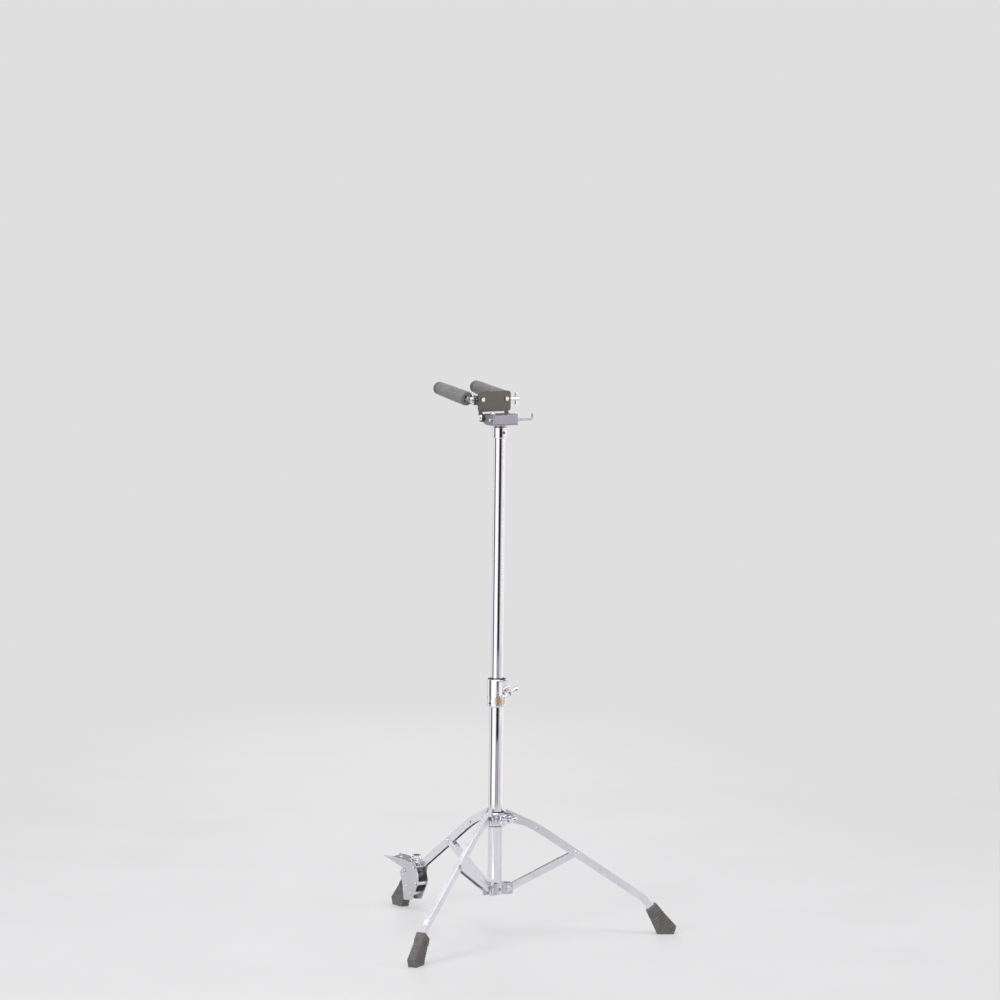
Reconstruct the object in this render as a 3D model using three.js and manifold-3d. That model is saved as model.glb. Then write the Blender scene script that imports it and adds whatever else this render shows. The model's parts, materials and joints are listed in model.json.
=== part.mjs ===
// Folding tripod stand for an upright string instrument, in millimetres, +Z up, the floor at z = 0.
// A chromed two-part tube stands on three cranked channel legs that fold with a sliding collar.
// The front leg points to -Y and carries the rest for the instrument's endpin.
// Two foam-covered arms on a tilting yoke hold the instrument's body above that leg.
import * as THREE from 'three';
import { mergeVertices } from 'three/addons/utils/BufferGeometryUtils.js';
import Module from 'manifold-3d';

const wasm = await Module();
wasm.setup();

// General clearances and facet counts
const gap = 0.3;
const cutOverrun = 5;
const castEdge = 1;
const roundSides = 24;
const smallSides = 12;
const cornerSteps = 3;
const flatSteps = 2;
const quarterTurn = Math.PI / 2;
const halfTurn = Math.PI;
const radians = THREE.MathUtils.degToRad;

// Directions of the three legs around the mast, and of the wing bolts at its back, in degrees
const frontAngle = -90;
const legAngle = 120;
const legDirections = { front: frontAngle, right: frontAngle + legAngle, left: frontAngle + 2 * legAngle };
const backDirection = -frontAngle;

// Heights of the folding linkage's two rings of pivots: the hub's and, above it, the sliding collar's
const hubHeight = 100;
const collarHeight = 251;

// Mast tubes: the upper one slides in the lower one
const upperTube = { radius: 12.7, wall: 1.2, length: 683, hidden: 106 };
const lowerTube = { slideRoom: 1.1, wall: 1.2, length: 415, hubCover: 9 };
lowerTube.radius = upperTube.radius + lowerTube.slideRoom + lowerTube.wall;
lowerTube.bottom = hubHeight - lowerTube.hubCover;
lowerTube.top = lowerTube.bottom + lowerTube.length;
upperTube.bottom = lowerTube.top - upperTube.hidden;
upperTube.top = upperTube.bottom + upperTube.length;
const mastPlug = { flange: 2, depth: 14, wall: 1.8 };
const tubeGuide = { flange: 2.5, depth: 12, wall: 1.6 };
const bushing = { wall: 1.9, lip: 1.5, lipProud: 1.6 };

// Pivots of the braces on the hub and of the legs on the collar, and their joint half way between
const pivotStandoff = 15;
const bracePivot = { radius: lowerTube.radius + pivotStandoff, height: hubHeight };
const legPivot = { radius: bracePivot.radius, height: collarHeight };
const braceJoint = { radius: 173, height: (hubHeight + collarHeight) / 2 };

// Pivot rivets, one shape for hub, collar and braces
const rivet = { radius: 3, headRadius: 5.4, headHeight: 2.4 };

// Base hub
const hub = { wall: 4.7, height: 24, lugPast: 8.5, lugWall: 3, lugCorner: 6 };
hub.radius = lowerTube.radius + gap + hub.wall;
hub.lugReach = bracePivot.radius + hub.lugPast;
hub.bottom = hubHeight - hub.height / 2;
hub.top = hub.bottom + hub.height;

// Leg collar, which slides on a nylon bushing
const collar = { wall: 3.5, height: 28, drop: 15, lugPast: 8, lugWall: 3.2, lugCorner: 7, lugHeight: 19 };
collar.bore = lowerTube.radius + gap + bushing.wall + gap;
collar.radius = collar.bore + collar.wall;
collar.lugReach = legPivot.radius + collar.lugPast;
collar.bottom = collarHeight - collar.drop;
collar.top = collar.bottom + collar.height;

// Legs: pressed channels, given by the bend points of their centre line
const leg = { depth: 17, width: 10, wall: 1.5, crankBend: 26, kneeBend: 9, earRadius: 8 };
const legEar = { inset: 10.9, rise: 12.2, mastGap: 1 };
const legCrank = { radius: 88 };
const legKnee = { radius: 319.2, height: 78.1 };
const legTip = { reach: 24.7, drop: 30 };
legTip.radius = legKnee.radius + legTip.reach;
legTip.height = legKnee.height - legTip.drop;
const legSlope = (braceJoint.height - legKnee.height) / (braceJoint.radius - legKnee.radius);
const legHole = { radius: 2.6, drop: 2.6 };

// Braces: wider channels, which take the legs between their walls
const brace = { depth: 14.4, wall: 1.5, hubSlot: 17, legSlot: 34 };
brace.width = leg.width + 2 * gap + 2 * brace.wall;

// Rubber boots on the legs' ends: the mouth is square to the leg, the sole lies on the floor
const foot = {
  sleeve: 13.7,
  wall: 4.2,
  sideWall: 5.5,
  soleStart: 5.1,
  soleLength: 36,
  toePast: 5.5,
  toeHeight: 17,
};
const footShell = { edge: 1.6, fit: 0.4, ribWidth: 1.9, ribPitch: 4.2, ribProud: 0.6, ribs: 4 };
foot.halfWidth = leg.width / 2 + foot.sideWall;
foot.toe = legTip.radius + foot.soleStart + foot.soleLength + foot.toePast;

// Height clamp on top of the lower tube
const clamp = {
  wall: 5.7,
  sleeveStep: 0.6,
  cover: 15,
  neck: 22.5,
  height: 59,
  grooveDepth: 1.4,
  chamfer: 1.4,
};
clamp.radius = lowerTube.radius + gap + clamp.wall;
clamp.sleeveRadius = clamp.radius - clamp.sleeveStep;
clamp.bottom = lowerTube.top - clamp.cover;
clamp.groove = clamp.bottom + clamp.neck;
clamp.top = clamp.bottom + clamp.height;
const clampScrew = { direction: 11, rise: 8.5, radius: 2.6, depth: 4, proud: 1.2 };
const clampBoltShare = 0.33;

// Bosses that take the wing bolts
const boss = { width: 20, past: 12, corner: 6 };
boss.reach = clamp.radius + boss.past;
const collarBoss = { width: 17, past: 10 };
collarBoss.reach = collar.radius + collarBoss.past;

// Wing bolts, with the bare length of shaft outside each boss
const wingBolt = { shaftRadius: 3.6, hubRadius: 6.5, hubLength: 5, wingLength: 14 };
const wing = { span: 46, root: 8, tip: 15, thickness: 6.2, corner: 5 };
const wingNeck = { clamp: 3, collar: 5 };
const wingTilt = { clamp: 25, collar: 11 };

// Collar on top of the upper tube, with its set screw
const headCollar = { wall: 2.5, cover: 20, height: 23, chamfer: 1, slot: 2 };
headCollar.radius = upperTube.radius + gap + headCollar.wall;
headCollar.bottom = upperTube.top - headCollar.cover;
headCollar.top = headCollar.bottom + headCollar.height;
const headScrew = { radius: 2.5, proud: 1.5, height: (headCollar.bottom + headCollar.top) / 2 };

// Head block on its spigot: its nose carries the tilt hinge in front of the mast
const spigot = { fit: 0.4, depth: 41, neck: 4.5 };
spigot.radius = upperTube.radius - upperTube.wall - spigot.fit;
spigot.bottom = upperTube.top - spigot.depth;
const block = {
  halfWidth: 31,
  backReach: 22,
  height: 22.5,
  edge: 2.2,
  lip: 1.8,
  lipHeight: 3,
  noseRadius: 8,
};
block.bottom = headCollar.top + spigot.neck;
block.top = block.bottom + block.height;
const tiltPivot = { front: 21, height: block.top - block.noseRadius };
const tiltBolt = { radius: 4, headRadius: 6.6, headHeight: 4.4 };
const tiltNut = { hubLength: 8, wingLength: 10, hubRadius: 6.2, span: 39, tip: 13 };
const topScrew = { back: 3, inset: 11, radius: 3, depth: 9, headRadius: 5.8, headHeight: 5 };
const hook = { radius: 2.25, back: 16, rise: 10.5, reach: 40.5, tipRise: 13.5, bend: 5, root: 9 };
const hookHeight = block.bottom + hook.rise;
const hookCollar = { radius: 4.6, length: 3 };

// Yoke: bent plate that tilts on the head block and carries the arms between its tongues
const yoke = { sidePast: 10, setback: 0.5, wall: 3, clearance: 4, height: 43, corner: 7 };
yoke.halfWidth = block.halfWidth + yoke.sidePast;
yoke.back = tiltPivot.front - yoke.setback;
yoke.bottom = block.top + yoke.clearance;
yoke.top = yoke.bottom + yoke.height;
const yokeLug = { wall: 3, radius: 9.2, neck: 9 };
const yokeTongue = { radius: 10, rise: 24, reach: 20.5 };
const yokeRivet = { inset: 10.5, rise: 26, headRadius: 4.2, headHeight: 2.2 };
const stopPin = { past: 5.9, headRadius: 4.1, headHeight: 3.4 };

// Arms: pivots, core rods, foam sleeves and end caps, measured along the arm from its pivot
const armPivot = { front: yoke.back + yokeTongue.reach, height: yoke.bottom + yokeTongue.rise };
const sleeve = { clearance: 3, length: 105, rootRadius: 15.6, tipRadius: 14.4, edge: 3 };
sleeve.start = yokeTongue.radius + sleeve.clearance;
sleeve.end = sleeve.start + sleeve.length;
const arm = { sidePast: 6, pitch: 8, wall: 4, eyeRadius: 9.4, rodRadius: 6, rootPast: 0.5, tipPast: 8 };
arm.side = yoke.halfWidth + arm.sidePast;
arm.rodStart = sleeve.start - arm.rootPast;
arm.rodEnd = sleeve.end + arm.tipPast;
const armCap = { radius: 13.6, flange: 4, domeLength: 9, room: 1.5 };
const armSeat = { inner: yoke.halfWidth - yoke.wall - gap, outer: yoke.halfWidth + gap + arm.wall + gap };
const armBolt = { radius: 3, headRadius: 6.2, headHeight: 4.6 };
const armNut = { hubRadius: 5.4, wingLength: 11, span: 29, root: 6, tip: 9, thickness: 4.4, sleeveGap: 0.5 };

// Endpin rest on the front leg, behind its knee: side plates folded outwards just under their leg rivet
const restKneeGap = 30.2;
const restPlate = { footGap: 0.6, wall: 2, foldDrop: 8.2, corner: 3, back: 11.5, length: 72.5, height: 71 };
const restReach = legKnee.radius - restKneeGap;
restPlate.inner = foot.halfWidth + footShell.ribProud + restPlate.footGap;
const restFold = legHeight(restReach) - restPlate.foldDrop;
const restFlareShare = 0.34;
const restRivet = { radius: 2.4, headRadius: 4.1, headHeight: 2.2, barrelRadius: 4.3 };
const restUpperRivet = { kneePast: 12.3, legGap: 0.8 };
const restShortRivets = [{ past: 6, drop: 11.1 }, { past: -5.4, drop: 33.6 }];

// Places on the side plates, as shares of their length from the back and of their height from the fold down
const restBodyShares = [
  [0.06, 0],
  [0, 0.21],
  [0.014, 0.37],
  [0.35, 0.94],
  [0.77, 1],
  [0.855, 0.49],
  [1, 0.18],
  [0.876, 0],
];
const restBarrelShares = { back: [0.13, 0.394], lower: [0.42, 0.746] };

// Stud on the front leg, with the nut, lever and knob that lock the rest
const stud = { past: 17, radius: 3, grip: 5.6, headLength: 11, headHeight: 2.5 };
stud.front = restReach + stud.past;
const restNut = { radius: 11.6, height: 4.7, flutes: 10, fluteRadius: 2.6 };
const lockLever = { height: 3, eyeRadius: 9, eyeHole: 5, rootRadius: 7.5, eyeBack: 25, neck: 7, legGap: 2 };
const restKnob = { radius: 11.8, height: 8.6, flutes: 10, fluteRadius: 2.4, edge: 1.6 };
restNut.bottom = legTopHeight(stud.front - restNut.radius) + gap;
lockLever.bottom = restNut.bottom + restNut.height + gap;
restKnob.bottom = lockLever.bottom + lockLever.height + gap;

// Wings of the side plates, which end just under the lever
const restWing = { leverGap: 1.1, tipHeight: 3 };
restWing.top = lockLever.bottom - restWing.leverGap;

// Trough for the endpin, with its rubber pad
const tray = {
  nutGap: 1.4,
  length: 85,
  halfWidth: 18,
  proud: 0.8,
  depth: 10,
  grooveHalf: 5,
  wall: 1.8,
  nose: 27,
};
tray.inner = stud.front + restNut.radius + tray.nutGap;
tray.outer = tray.inner + tray.length;
tray.rim = restWing.top + tray.proud;
tray.floor = tray.rim - tray.depth;
const trayRivetShares = [[0.74, 0.56], [0.74, -0.56], [0.3, 0.6], [0.3, -0.6]];
const trayRivet = { headRadius: 3.7, headHeight: 1.9 };
const pad = { startGap: 3, length: 71, height: 3, sideGap: 0.5 };

// The origin is under the middle of the whole stand, so the mast stands back from it
const rearReach = foot.toe * Math.sin(radians(legDirections.right));
const rearWidth = foot.halfWidth * Math.cos(radians(legDirections.right));
const mastSetback = (tray.outer - rearReach - rearWidth) / 2;

// Materials

function metal(colour, roughness) {
  return new THREE.MeshStandardMaterial({ color: colour, roughness, metalness: 1 });
}

function plain(colour, roughness) {
  return new THREE.MeshStandardMaterial({ color: colour, roughness, metalness: 0 });
}

const chrome = () => metal(0xc9c6cc, 0.12);
const zincSteel = () => metal(0xb9b6bd, 0.3);
const satinCasting = () => metal(0xa7a3ab, 0.42);
const darkSteel = () => metal(0x4c4a4e, 0.4);
const rubber = () => plain(0x2c2a2b, 0.85);
const foam = () => plain(0x5d595b, 0.95);
const nylon = () => plain(0x1d1c1e, 0.55);

// Solids: join and cut closed geometries

function toSolid(geometry) {
  const bare = geometry.clone();
  bare.deleteAttribute('normal');
  bare.deleteAttribute('uv');
  const merged = mergeVertices(bare, 1e-4);
  const triVerts = new Uint32Array(merged.index.array);
  const vertProperties = merged.attributes.position.array;
  return new wasm.Manifold(new wasm.Mesh({ numProp: 3, vertProperties, triVerts }));
}

function toGeometry(solid) {
  const mesh = solid.getMesh();
  const geometry = new THREE.BufferGeometry();
  geometry.setAttribute('position', new THREE.BufferAttribute(mesh.vertProperties, 3));
  geometry.setIndex(new THREE.BufferAttribute(mesh.triVerts, 1));
  const flat = geometry.toNonIndexed();
  flat.computeVertexNormals();
  return flat;
}

function join(first, ...others) {
  const solid = others.reduce((whole, next) => whole.add(toSolid(next)), toSolid(first));
  return toGeometry(solid);
}

function cut(first, ...tools) {
  const solid = tools.reduce((whole, next) => whole.subtract(toSolid(next)), toSolid(first));
  return toGeometry(solid);
}

// Turns a geometry's faces round when they point inwards
function facingOut(geometry) {
  const place = geometry.attributes.position;
  const index = geometry.index.array;
  const corners = [new THREE.Vector3(), new THREE.Vector3(), new THREE.Vector3()];
  let volume = 0;
  for (let i = 0; i < index.length; i += 3) {
    corners.forEach((corner, k) => corner.fromBufferAttribute(place, index[i + k]));
    volume += corners[0].dot(corners[1].cross(corners[2]));
  }
  if (volume < 0) {
    for (let i = 0; i < index.length; i += 3) {
      [index[i + 1], index[i + 2]] = [index[i + 2], index[i + 1]];
    }
  }
  return geometry;
}

// Basic forms, all standing along +Z

function rod(radius, bottom, top, sides = smallSides) {
  const height = top - bottom;
  const geometry = new THREE.CylinderGeometry(radius, radius, height, sides);
  return geometry.rotateX(quarterTurn).translate(0, 0, bottom + height / 2);
}

// Turned body: the profile is a closed list of radius and height
function turned(profile, sides = roundSides) {
  const points = [...profile, profile[0]].map(([radius, height]) => new THREE.Vector2(radius, height));
  return facingOut(new THREE.LatheGeometry(points, sides)).rotateX(quarterTurn);
}

function ring(inner, outer, bottom, top, sides = roundSides) {
  return turned([[inner, bottom], [outer, bottom], [outer, top], [inner, top]], sides);
}

// Rivet or bolt head: a low dome on a short edge
function dome(radius, height, sides = smallSides) {
  const edgeShare = 0.3;
  const shoulderShare = 0.72;
  const shoulderHeightShare = 0.82;
  return turned([
    [0, 0],
    [radius, 0],
    [radius, height * edgeShare],
    [radius * shoulderShare, height * shoulderHeightShare],
    [0, height],
  ], sides);
}

// Outline with every corner rounded, no more than the sides allow
function roundedOutline(points, radius) {
  const corners = points.map(([x, y]) => new THREE.Vector2(x, y));
  const shape = new THREE.Shape();
  corners.forEach((corner, i) => {
    const before = corners[(i + corners.length - 1) % corners.length];
    const after = corners[(i + 1) % corners.length];
    const reach = Math.min(radius, corner.distanceTo(before) / 2, corner.distanceTo(after) / 2);
    const start = before.clone().sub(corner).setLength(reach).add(corner);
    const end = after.clone().sub(corner).setLength(reach).add(corner);
    if (i === 0) shape.moveTo(start.x, start.y);
    else shape.lineTo(start.x, start.y);
    shape.quadraticCurveTo(corner.x, corner.y, end.x, end.y);
  });
  shape.closePath();
  return shape;
}

function outline(points) {
  return new THREE.Shape(points.map(([x, y]) => new THREE.Vector2(x, y)));
}

function box(x0, x1, y0, y1, z0, z1) {
  const geometry = new THREE.BoxGeometry(x1 - x0, y1 - y0, z1 - z0);
  return geometry.translate((x0 + x1) / 2, (y0 + y1) / 2, (z0 + z1) / 2);
}

// A shape lying flat, from bottom to top
function slab(shape, bottom, top, curveSegments = cornerSteps) {
  const settings = { depth: top - bottom, bevelEnabled: false, curveSegments };
  const geometry = new THREE.ExtrudeGeometry(shape, settings);
  return geometry.translate(0, 0, bottom);
}

// A shape drawn in distance and height, stood upright across a leg's or the head's middle plane
function upright(shape, side0, side1, curveSegments = cornerSteps) {
  const geometry = slab(shape, -side1, -side0, curveSegments);
  return geometry.rotateX(quarterTurn);
}

// A rod, or any form along +Z, laid across that plane so that it runs towards local +Y
function across(geometry, distance, height) {
  return geometry.rotateX(-quarterTurn).translate(distance, 0, height);
}

// The same form laid along local +X
function outward(geometry, height) {
  return geometry.rotateY(quarterTurn).translate(0, 0, height);
}

// A polyline with its inner corners rounded
function bentLine(points, bends, steps = cornerSteps) {
  const corners = points.map(([x, y]) => new THREE.Vector2(x, y));
  const line = [corners[0]];
  for (let i = 1; i < corners.length - 1; i += 1) {
    const start = corners[i - 1].clone().sub(corners[i]).setLength(bends[i - 1]).add(corners[i]);
    const end = corners[i + 1].clone().sub(corners[i]).setLength(bends[i - 1]).add(corners[i]);
    line.push(...new THREE.QuadraticBezierCurve(start, corners[i], end).getPoints(steps));
  }
  line.push(corners[corners.length - 1]);
  return line;
}

// The same polyline moved sideways, to the right of its direction
function offsetLine(line, distance) {
  return line.map((point, i) => {
    const before = line[Math.max(i - 1, 0)];
    const after = line[Math.min(i + 1, line.length - 1)];
    const first = point.clone().sub(before).normalize();
    const second = after.clone().sub(point).normalize();
    const direction = first.add(second).normalize();
    const edge = (i === 0 ? second : point.clone().sub(before).normalize());
    const lean = Math.abs(direction.dot(edge)) || 1;
    return new THREE.Vector2(direction.y, -direction.x).multiplyScalar(distance / lean).add(point);
  });
}

// The polyline with both ends run on in their own directions
function runOn(line, distance) {
  const last = line.length - 1;
  const head = line[0].clone().sub(line[1]).setLength(distance).add(line[0]);
  const tail = line[last].clone().sub(line[last - 1]).setLength(distance).add(line[last]);
  return [head, ...line, tail];
}

// Groups: everything hangs on the mast's axis, and each leg has its own turned group

const stand = new THREE.Group();
const mast = new THREE.Group();
mast.position.set(0, mastSetback, 0);
stand.add(mast);

function turnedGroup(direction) {
  const group = new THREE.Group();
  group.rotation.z = radians(direction);
  mast.add(group);
  return group;
}

function part(parent, name, geometry, material) {
  const mesh = new THREE.Mesh(geometry, material);
  mesh.name = name;
  parent.add(mesh);
}

const legGroups = {
  front: turnedGroup(legDirections.front),
  right: turnedGroup(legDirections.right),
  left: turnedGroup(legDirections.left),
};
const backGroup = turnedGroup(backDirection);
const head = turnedGroup(legDirections.front);
const legNames = Object.keys(legGroups);

// Repeats a geometry at the three legs' directions
function atEachLeg(makeGeometry) {
  return legNames.map((name) => makeGeometry().rotateZ(radians(legDirections[name])));
}

// Mast tubes, plug and guide

function tube({ radius, wall, bottom, top }) {
  return ring(radius - wall, radius, bottom, top);
}

// Plug with a flange under the tube's end and a hollow skirt inside it
function endPlug(size, tubeSize) {
  const bore = tubeSize.radius - tubeSize.wall - gap;
  const seat = tubeSize.bottom - gap;
  return turned([
    [0, seat - size.flange],
    [tubeSize.radius - size.wall / 2, seat - size.flange],
    [tubeSize.radius - gap, seat],
    [bore, seat],
    [bore, seat + size.depth],
    [bore - size.wall, seat + size.depth],
    [bore - size.wall, seat],
    [0, seat],
  ]);
}

// Guide on the upper tube's lower end, which fills the lower tube's bore
function guideSleeve() {
  const outer = lowerTube.radius - lowerTube.wall - gap;
  const bore = upperTube.radius - upperTube.wall - gap;
  const seat = upperTube.bottom - gap;
  return turned([
    [bore - tubeGuide.wall, seat - tubeGuide.flange],
    [outer, seat - tubeGuide.flange],
    [outer, seat],
    [bore, seat],
    [bore, seat + tubeGuide.depth],
    [bore - tubeGuide.wall, seat + tubeGuide.depth],
  ]);
}

// Hub and collar: a ring with a pair of lugs at each leg's direction

function legLugs({ lugWall, lugReach, lugCorner }, slot, bottom, top, inner) {
  const face = new THREE.Shape();
  face.moveTo(inner, bottom);
  face.lineTo(lugReach - lugCorner, bottom);
  face.quadraticCurveTo(lugReach, bottom, lugReach, bottom + lugCorner);
  face.lineTo(lugReach, top - lugCorner);
  face.quadraticCurveTo(lugReach, top, lugReach - lugCorner, top);
  face.lineTo(inner, top);
  const near = slot / 2;
  const far = near + lugWall;
  return [[near, far], [-far, -near]].flatMap((sides) => (
    atEachLeg(() => upright(face, ...sides, flatSteps))
  ));
}

function baseHub() {
  const bore = lowerTube.radius + gap;
  const slot = brace.width + 2 * gap;
  const shell = turned([
    [bore, hub.bottom],
    [hub.radius - gap, hub.bottom],
    [hub.radius, hub.bottom + gap],
    [hub.radius, hub.top - gap],
    [hub.radius - gap, hub.top],
    [bore, hub.top],
  ]);
  const lugs = legLugs(hub, slot, hub.bottom, hub.top, bore + hub.lugWall / 2);
  const holes = atEachLeg(() => pivotHole(bracePivot, slot + 2 * hub.lugWall));
  const boreTool = rod(bore, hub.bottom - cutOverrun, hub.top + cutOverrun, roundSides);
  return cut(join(shell, ...lugs), boreTool, ...holes);
}

function pivotHole(pivot, width) {
  const half = width / 2 + cutOverrun;
  return across(rod(rivet.radius + gap, -half, half), pivot.radius, pivot.height);
}

// Rivet across a leg's plane, with a dome at each end
function pivotRivet(pivot, width) {
  const half = width / 2 + gap;
  const shaft = rod(rivet.radius, -half, half);
  const farHead = dome(rivet.headRadius, rivet.headHeight).translate(0, 0, half);
  const nearHead = dome(rivet.headRadius, rivet.headHeight).rotateX(halfTurn).translate(0, 0, -half);
  return across(join(shaft, farHead, nearHead), pivot.radius, pivot.height);
}

function hubPin() {
  return pivotRivet(bracePivot, brace.width + 2 * gap + 2 * hub.lugWall);
}

function collarPin() {
  return pivotRivet(legPivot, leg.width + 2 * gap + 2 * collar.lugWall);
}

// Boss that takes a wing bolt, built along local +X and open towards the mast
function bossBlock({ width, reach }, bottom, top, inner) {
  const half = width / 2;
  const face = roundedOutline([[-half, bottom], [half, bottom], [half, top], [-half, top]], boss.corner);
  const settings = { depth: reach - inner - 2 * castEdge, bevelEnabled: true, curveSegments: cornerSteps };
  const bevel = { bevelSize: castEdge, bevelThickness: castEdge, bevelOffset: -castEdge, bevelSegments: 1 };
  const geometry = new THREE.ExtrudeGeometry(face, { ...settings, ...bevel });
  return geometry.rotateX(quarterTurn).rotateZ(quarterTurn).translate(inner + castEdge, 0, 0);
}

function legCollar() {
  const slot = leg.width + 2 * gap;
  const shell = turned([
    [collar.bore, collar.bottom],
    [collar.radius - castEdge, collar.bottom],
    [collar.radius, collar.bottom + castEdge],
    [collar.radius, collar.top - castEdge],
    [collar.radius - castEdge, collar.top],
    [collar.bore, collar.top],
  ]);
  const lugHalf = collar.lugHeight / 2;
  const lugs = legLugs(collar, slot, collarHeight - lugHalf, collarHeight + lugHalf, collar.bore);
  const holes = atEachLeg(() => pivotHole(legPivot, slot + 2 * collar.lugWall));
  const back = bossBlock(collarBoss, collar.bottom + castEdge, collar.top - castEdge, collar.bore);
  back.rotateZ(radians(backDirection));
  const boltHole = rod(wingBolt.shaftRadius + gap, 0, collarBoss.reach + cutOverrun);
  outward(boltHole, collarHeight).rotateZ(radians(backDirection));
  const boreTool = rod(collar.bore, collar.bottom - cutOverrun, collar.top + cutOverrun, roundSides);
  return cut(join(shell, ...lugs, back), boreTool, ...holes, boltHole);
}

// Nylon sleeve with a lip above and below the casting
function sleeveBushing(inner, bottom, top) {
  const outer = inner + bushing.wall;
  const lipRadius = outer + bushing.lipProud;
  return turned([
    [inner, bottom - gap - bushing.lip],
    [lipRadius, bottom - gap - bushing.lip],
    [lipRadius, bottom - gap],
    [outer, bottom - gap],
    [outer, top + gap],
    [lipRadius, top + gap],
    [lipRadius, top + gap + bushing.lip],
    [inner, top + gap + bushing.lip],
  ]);
}

function collarBushing() {
  return sleeveBushing(lowerTube.radius + gap, collar.bottom, collar.top);
}

// Wings and wing bolts

// Bow-tie wing with round tips, in the plane of its axis; the axis runs along +Z
function wingPlate({ span, root, tip, thickness, corner }, middle) {
  const half = span / 2;
  const tipHalf = tip / 2;
  const rootHalf = root / 2;
  const neckShare = 0.34;
  const neck = half * neckShare;
  const face = roundedOutline([
    [-half, middle - tipHalf],
    [-neck, middle - rootHalf],
    [neck, middle - rootHalf],
    [half, middle - tipHalf],
    [half, middle + tipHalf],
    [neck, middle + rootHalf],
    [-neck, middle + rootHalf],
    [-half, middle + tipHalf],
  ], corner);
  return upright(face, -thickness / 2, thickness / 2, flatSteps);
}

// Shaft, hub and wing along local +X, turned about their own axis by the wing's tilt
function wingBoltForm(tip, hubStart, tilt) {
  const { shaftRadius, hubRadius, hubLength, wingLength } = wingBolt;
  const wingStart = hubStart + hubLength;
  const end = wingStart + wingLength;
  const shaft = turned([
    [0, tip],
    [shaftRadius - castEdge, tip],
    [shaftRadius, tip + castEdge],
    [shaftRadius, hubStart],
    [hubRadius, hubStart],
    [hubRadius, wingStart + castEdge],
    [hubRadius - castEdge, end - 2 * castEdge],
    [shaftRadius, end - castEdge],
    [0, end - castEdge],
  ], smallSides);
  const bolt = join(shaft, wingPlate(wing, (wingStart + end) / 2));
  return bolt.rotateZ(quarterTurn + radians(tilt)).rotateY(quarterTurn);
}

function clampWingBolt() {
  const tip = upperTube.radius + gap + bushing.wall + gap;
  const bolt = wingBoltForm(tip, boss.reach + wingNeck.clamp, wingTilt.clamp);
  return bolt.translate(0, 0, clampBoltHeight());
}

function clampBoltHeight() {
  return clamp.groove + clampBoltShare * (clamp.top - clamp.groove);
}

function collarWingBolt() {
  const tip = lowerTube.radius + gap + bushing.wall + gap;
  const bolt = wingBoltForm(tip, collarBoss.reach + wingNeck.collar, wingTilt.collar);
  return bolt.translate(0, 0, collarHeight);
}

// Height clamp

function heightClamp() {
  const tubeBore = lowerTube.radius + gap;
  const upperBore = upperTube.radius + gap + bushing.wall + gap;
  const seat = lowerTube.top + gap;
  const { chamfer, groove, grooveDepth } = clamp;
  const shell = turned([
    [tubeBore, clamp.bottom],
    [clamp.sleeveRadius - chamfer, clamp.bottom],
    [clamp.sleeveRadius, clamp.bottom + 2 * chamfer],
    [clamp.sleeveRadius, groove - grooveDepth],
    [clamp.sleeveRadius - grooveDepth, groove - grooveDepth],
    [clamp.sleeveRadius - grooveDepth, groove],
    [clamp.radius, groove],
    [clamp.radius, clamp.top - chamfer],
    [clamp.radius - chamfer, clamp.top],
    [upperBore, clamp.top],
    [upperBore, seat],
    [tubeBore, seat],
  ]);
  const back = bossBlock(boss, groove, clamp.top, clamp.radius - 2 * castEdge);
  const boltHole = rod(wingBolt.shaftRadius + gap, upperBore - gap, boss.reach + cutOverrun);
  const bored = cut(join(shell, back), outward(boltHole, clampBoltHeight()));
  const screwSeat = clamp.sleeveRadius - clampScrew.depth;
  const screwHole = rod(clampScrew.radius + gap, screwSeat, clamp.sleeveRadius + cutOverrun);
  const screwTurn = radians(clampScrew.direction - backDirection);
  return cut(bored, outward(screwHole, clamp.bottom + clampScrew.rise).rotateZ(screwTurn));
}

function clampBushing() {
  const inner = upperTube.radius + gap;
  const outer = inner + bushing.wall;
  const lipRadius = outer + bushing.lipProud;
  return turned([
    [inner, lowerTube.top + 2 * gap],
    [outer, lowerTube.top + 2 * gap],
    [outer, clamp.top + gap],
    [lipRadius, clamp.top + gap],
    [lipRadius, clamp.top + gap + bushing.lip],
    [inner, clamp.top + gap + bushing.lip],
  ]);
}

// Small socket screw along local +X, from start to end
function socketScrew(radius, start, end) {
  const socketShare = 0.5;
  const body = turned([
    [0, start],
    [radius, start],
    [radius, end - gap],
    [radius - gap, end],
    [0, end],
  ], smallSides);
  const socket = rod(radius * socketShare, end - radius, end + cutOverrun, smallSides / 2);
  return cut(body, socket).rotateY(quarterTurn);
}

function clampSetScrew() {
  const start = clamp.sleeveRadius - clampScrew.depth + gap;
  const screw = socketScrew(clampScrew.radius, start, clamp.sleeveRadius + clampScrew.proud);
  return screw.translate(0, 0, clamp.bottom + clampScrew.rise);
}

function headSetScrew() {
  const screw = socketScrew(headScrew.radius, upperTube.radius + gap, headCollar.radius + headScrew.proud);
  return screw.translate(0, 0, headScrew.height);
}

// Head collar and block

function headCollarRing() {
  const bore = upperTube.radius + gap;
  const { radius, bottom, top, chamfer, slot } = headCollar;
  const shell = turned([
    [bore, bottom],
    [radius - chamfer, bottom],
    [radius, bottom + chamfer],
    [radius, top - chamfer],
    [radius - chamfer, top],
    [bore, top],
  ]);
  const screwHole = outward(rod(headScrew.radius + gap, 0, radius + cutOverrun), headScrew.height);
  const low = bottom - cutOverrun;
  const high = top + cutOverrun;
  const split = box(bore - cutOverrun, radius + cutOverrun, -slot / 2, slot / 2, low, high);
  return cut(shell, screwHole.rotateZ(radians(backDirection)), split.rotateZ(radians(legDirections.front)));
}

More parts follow.
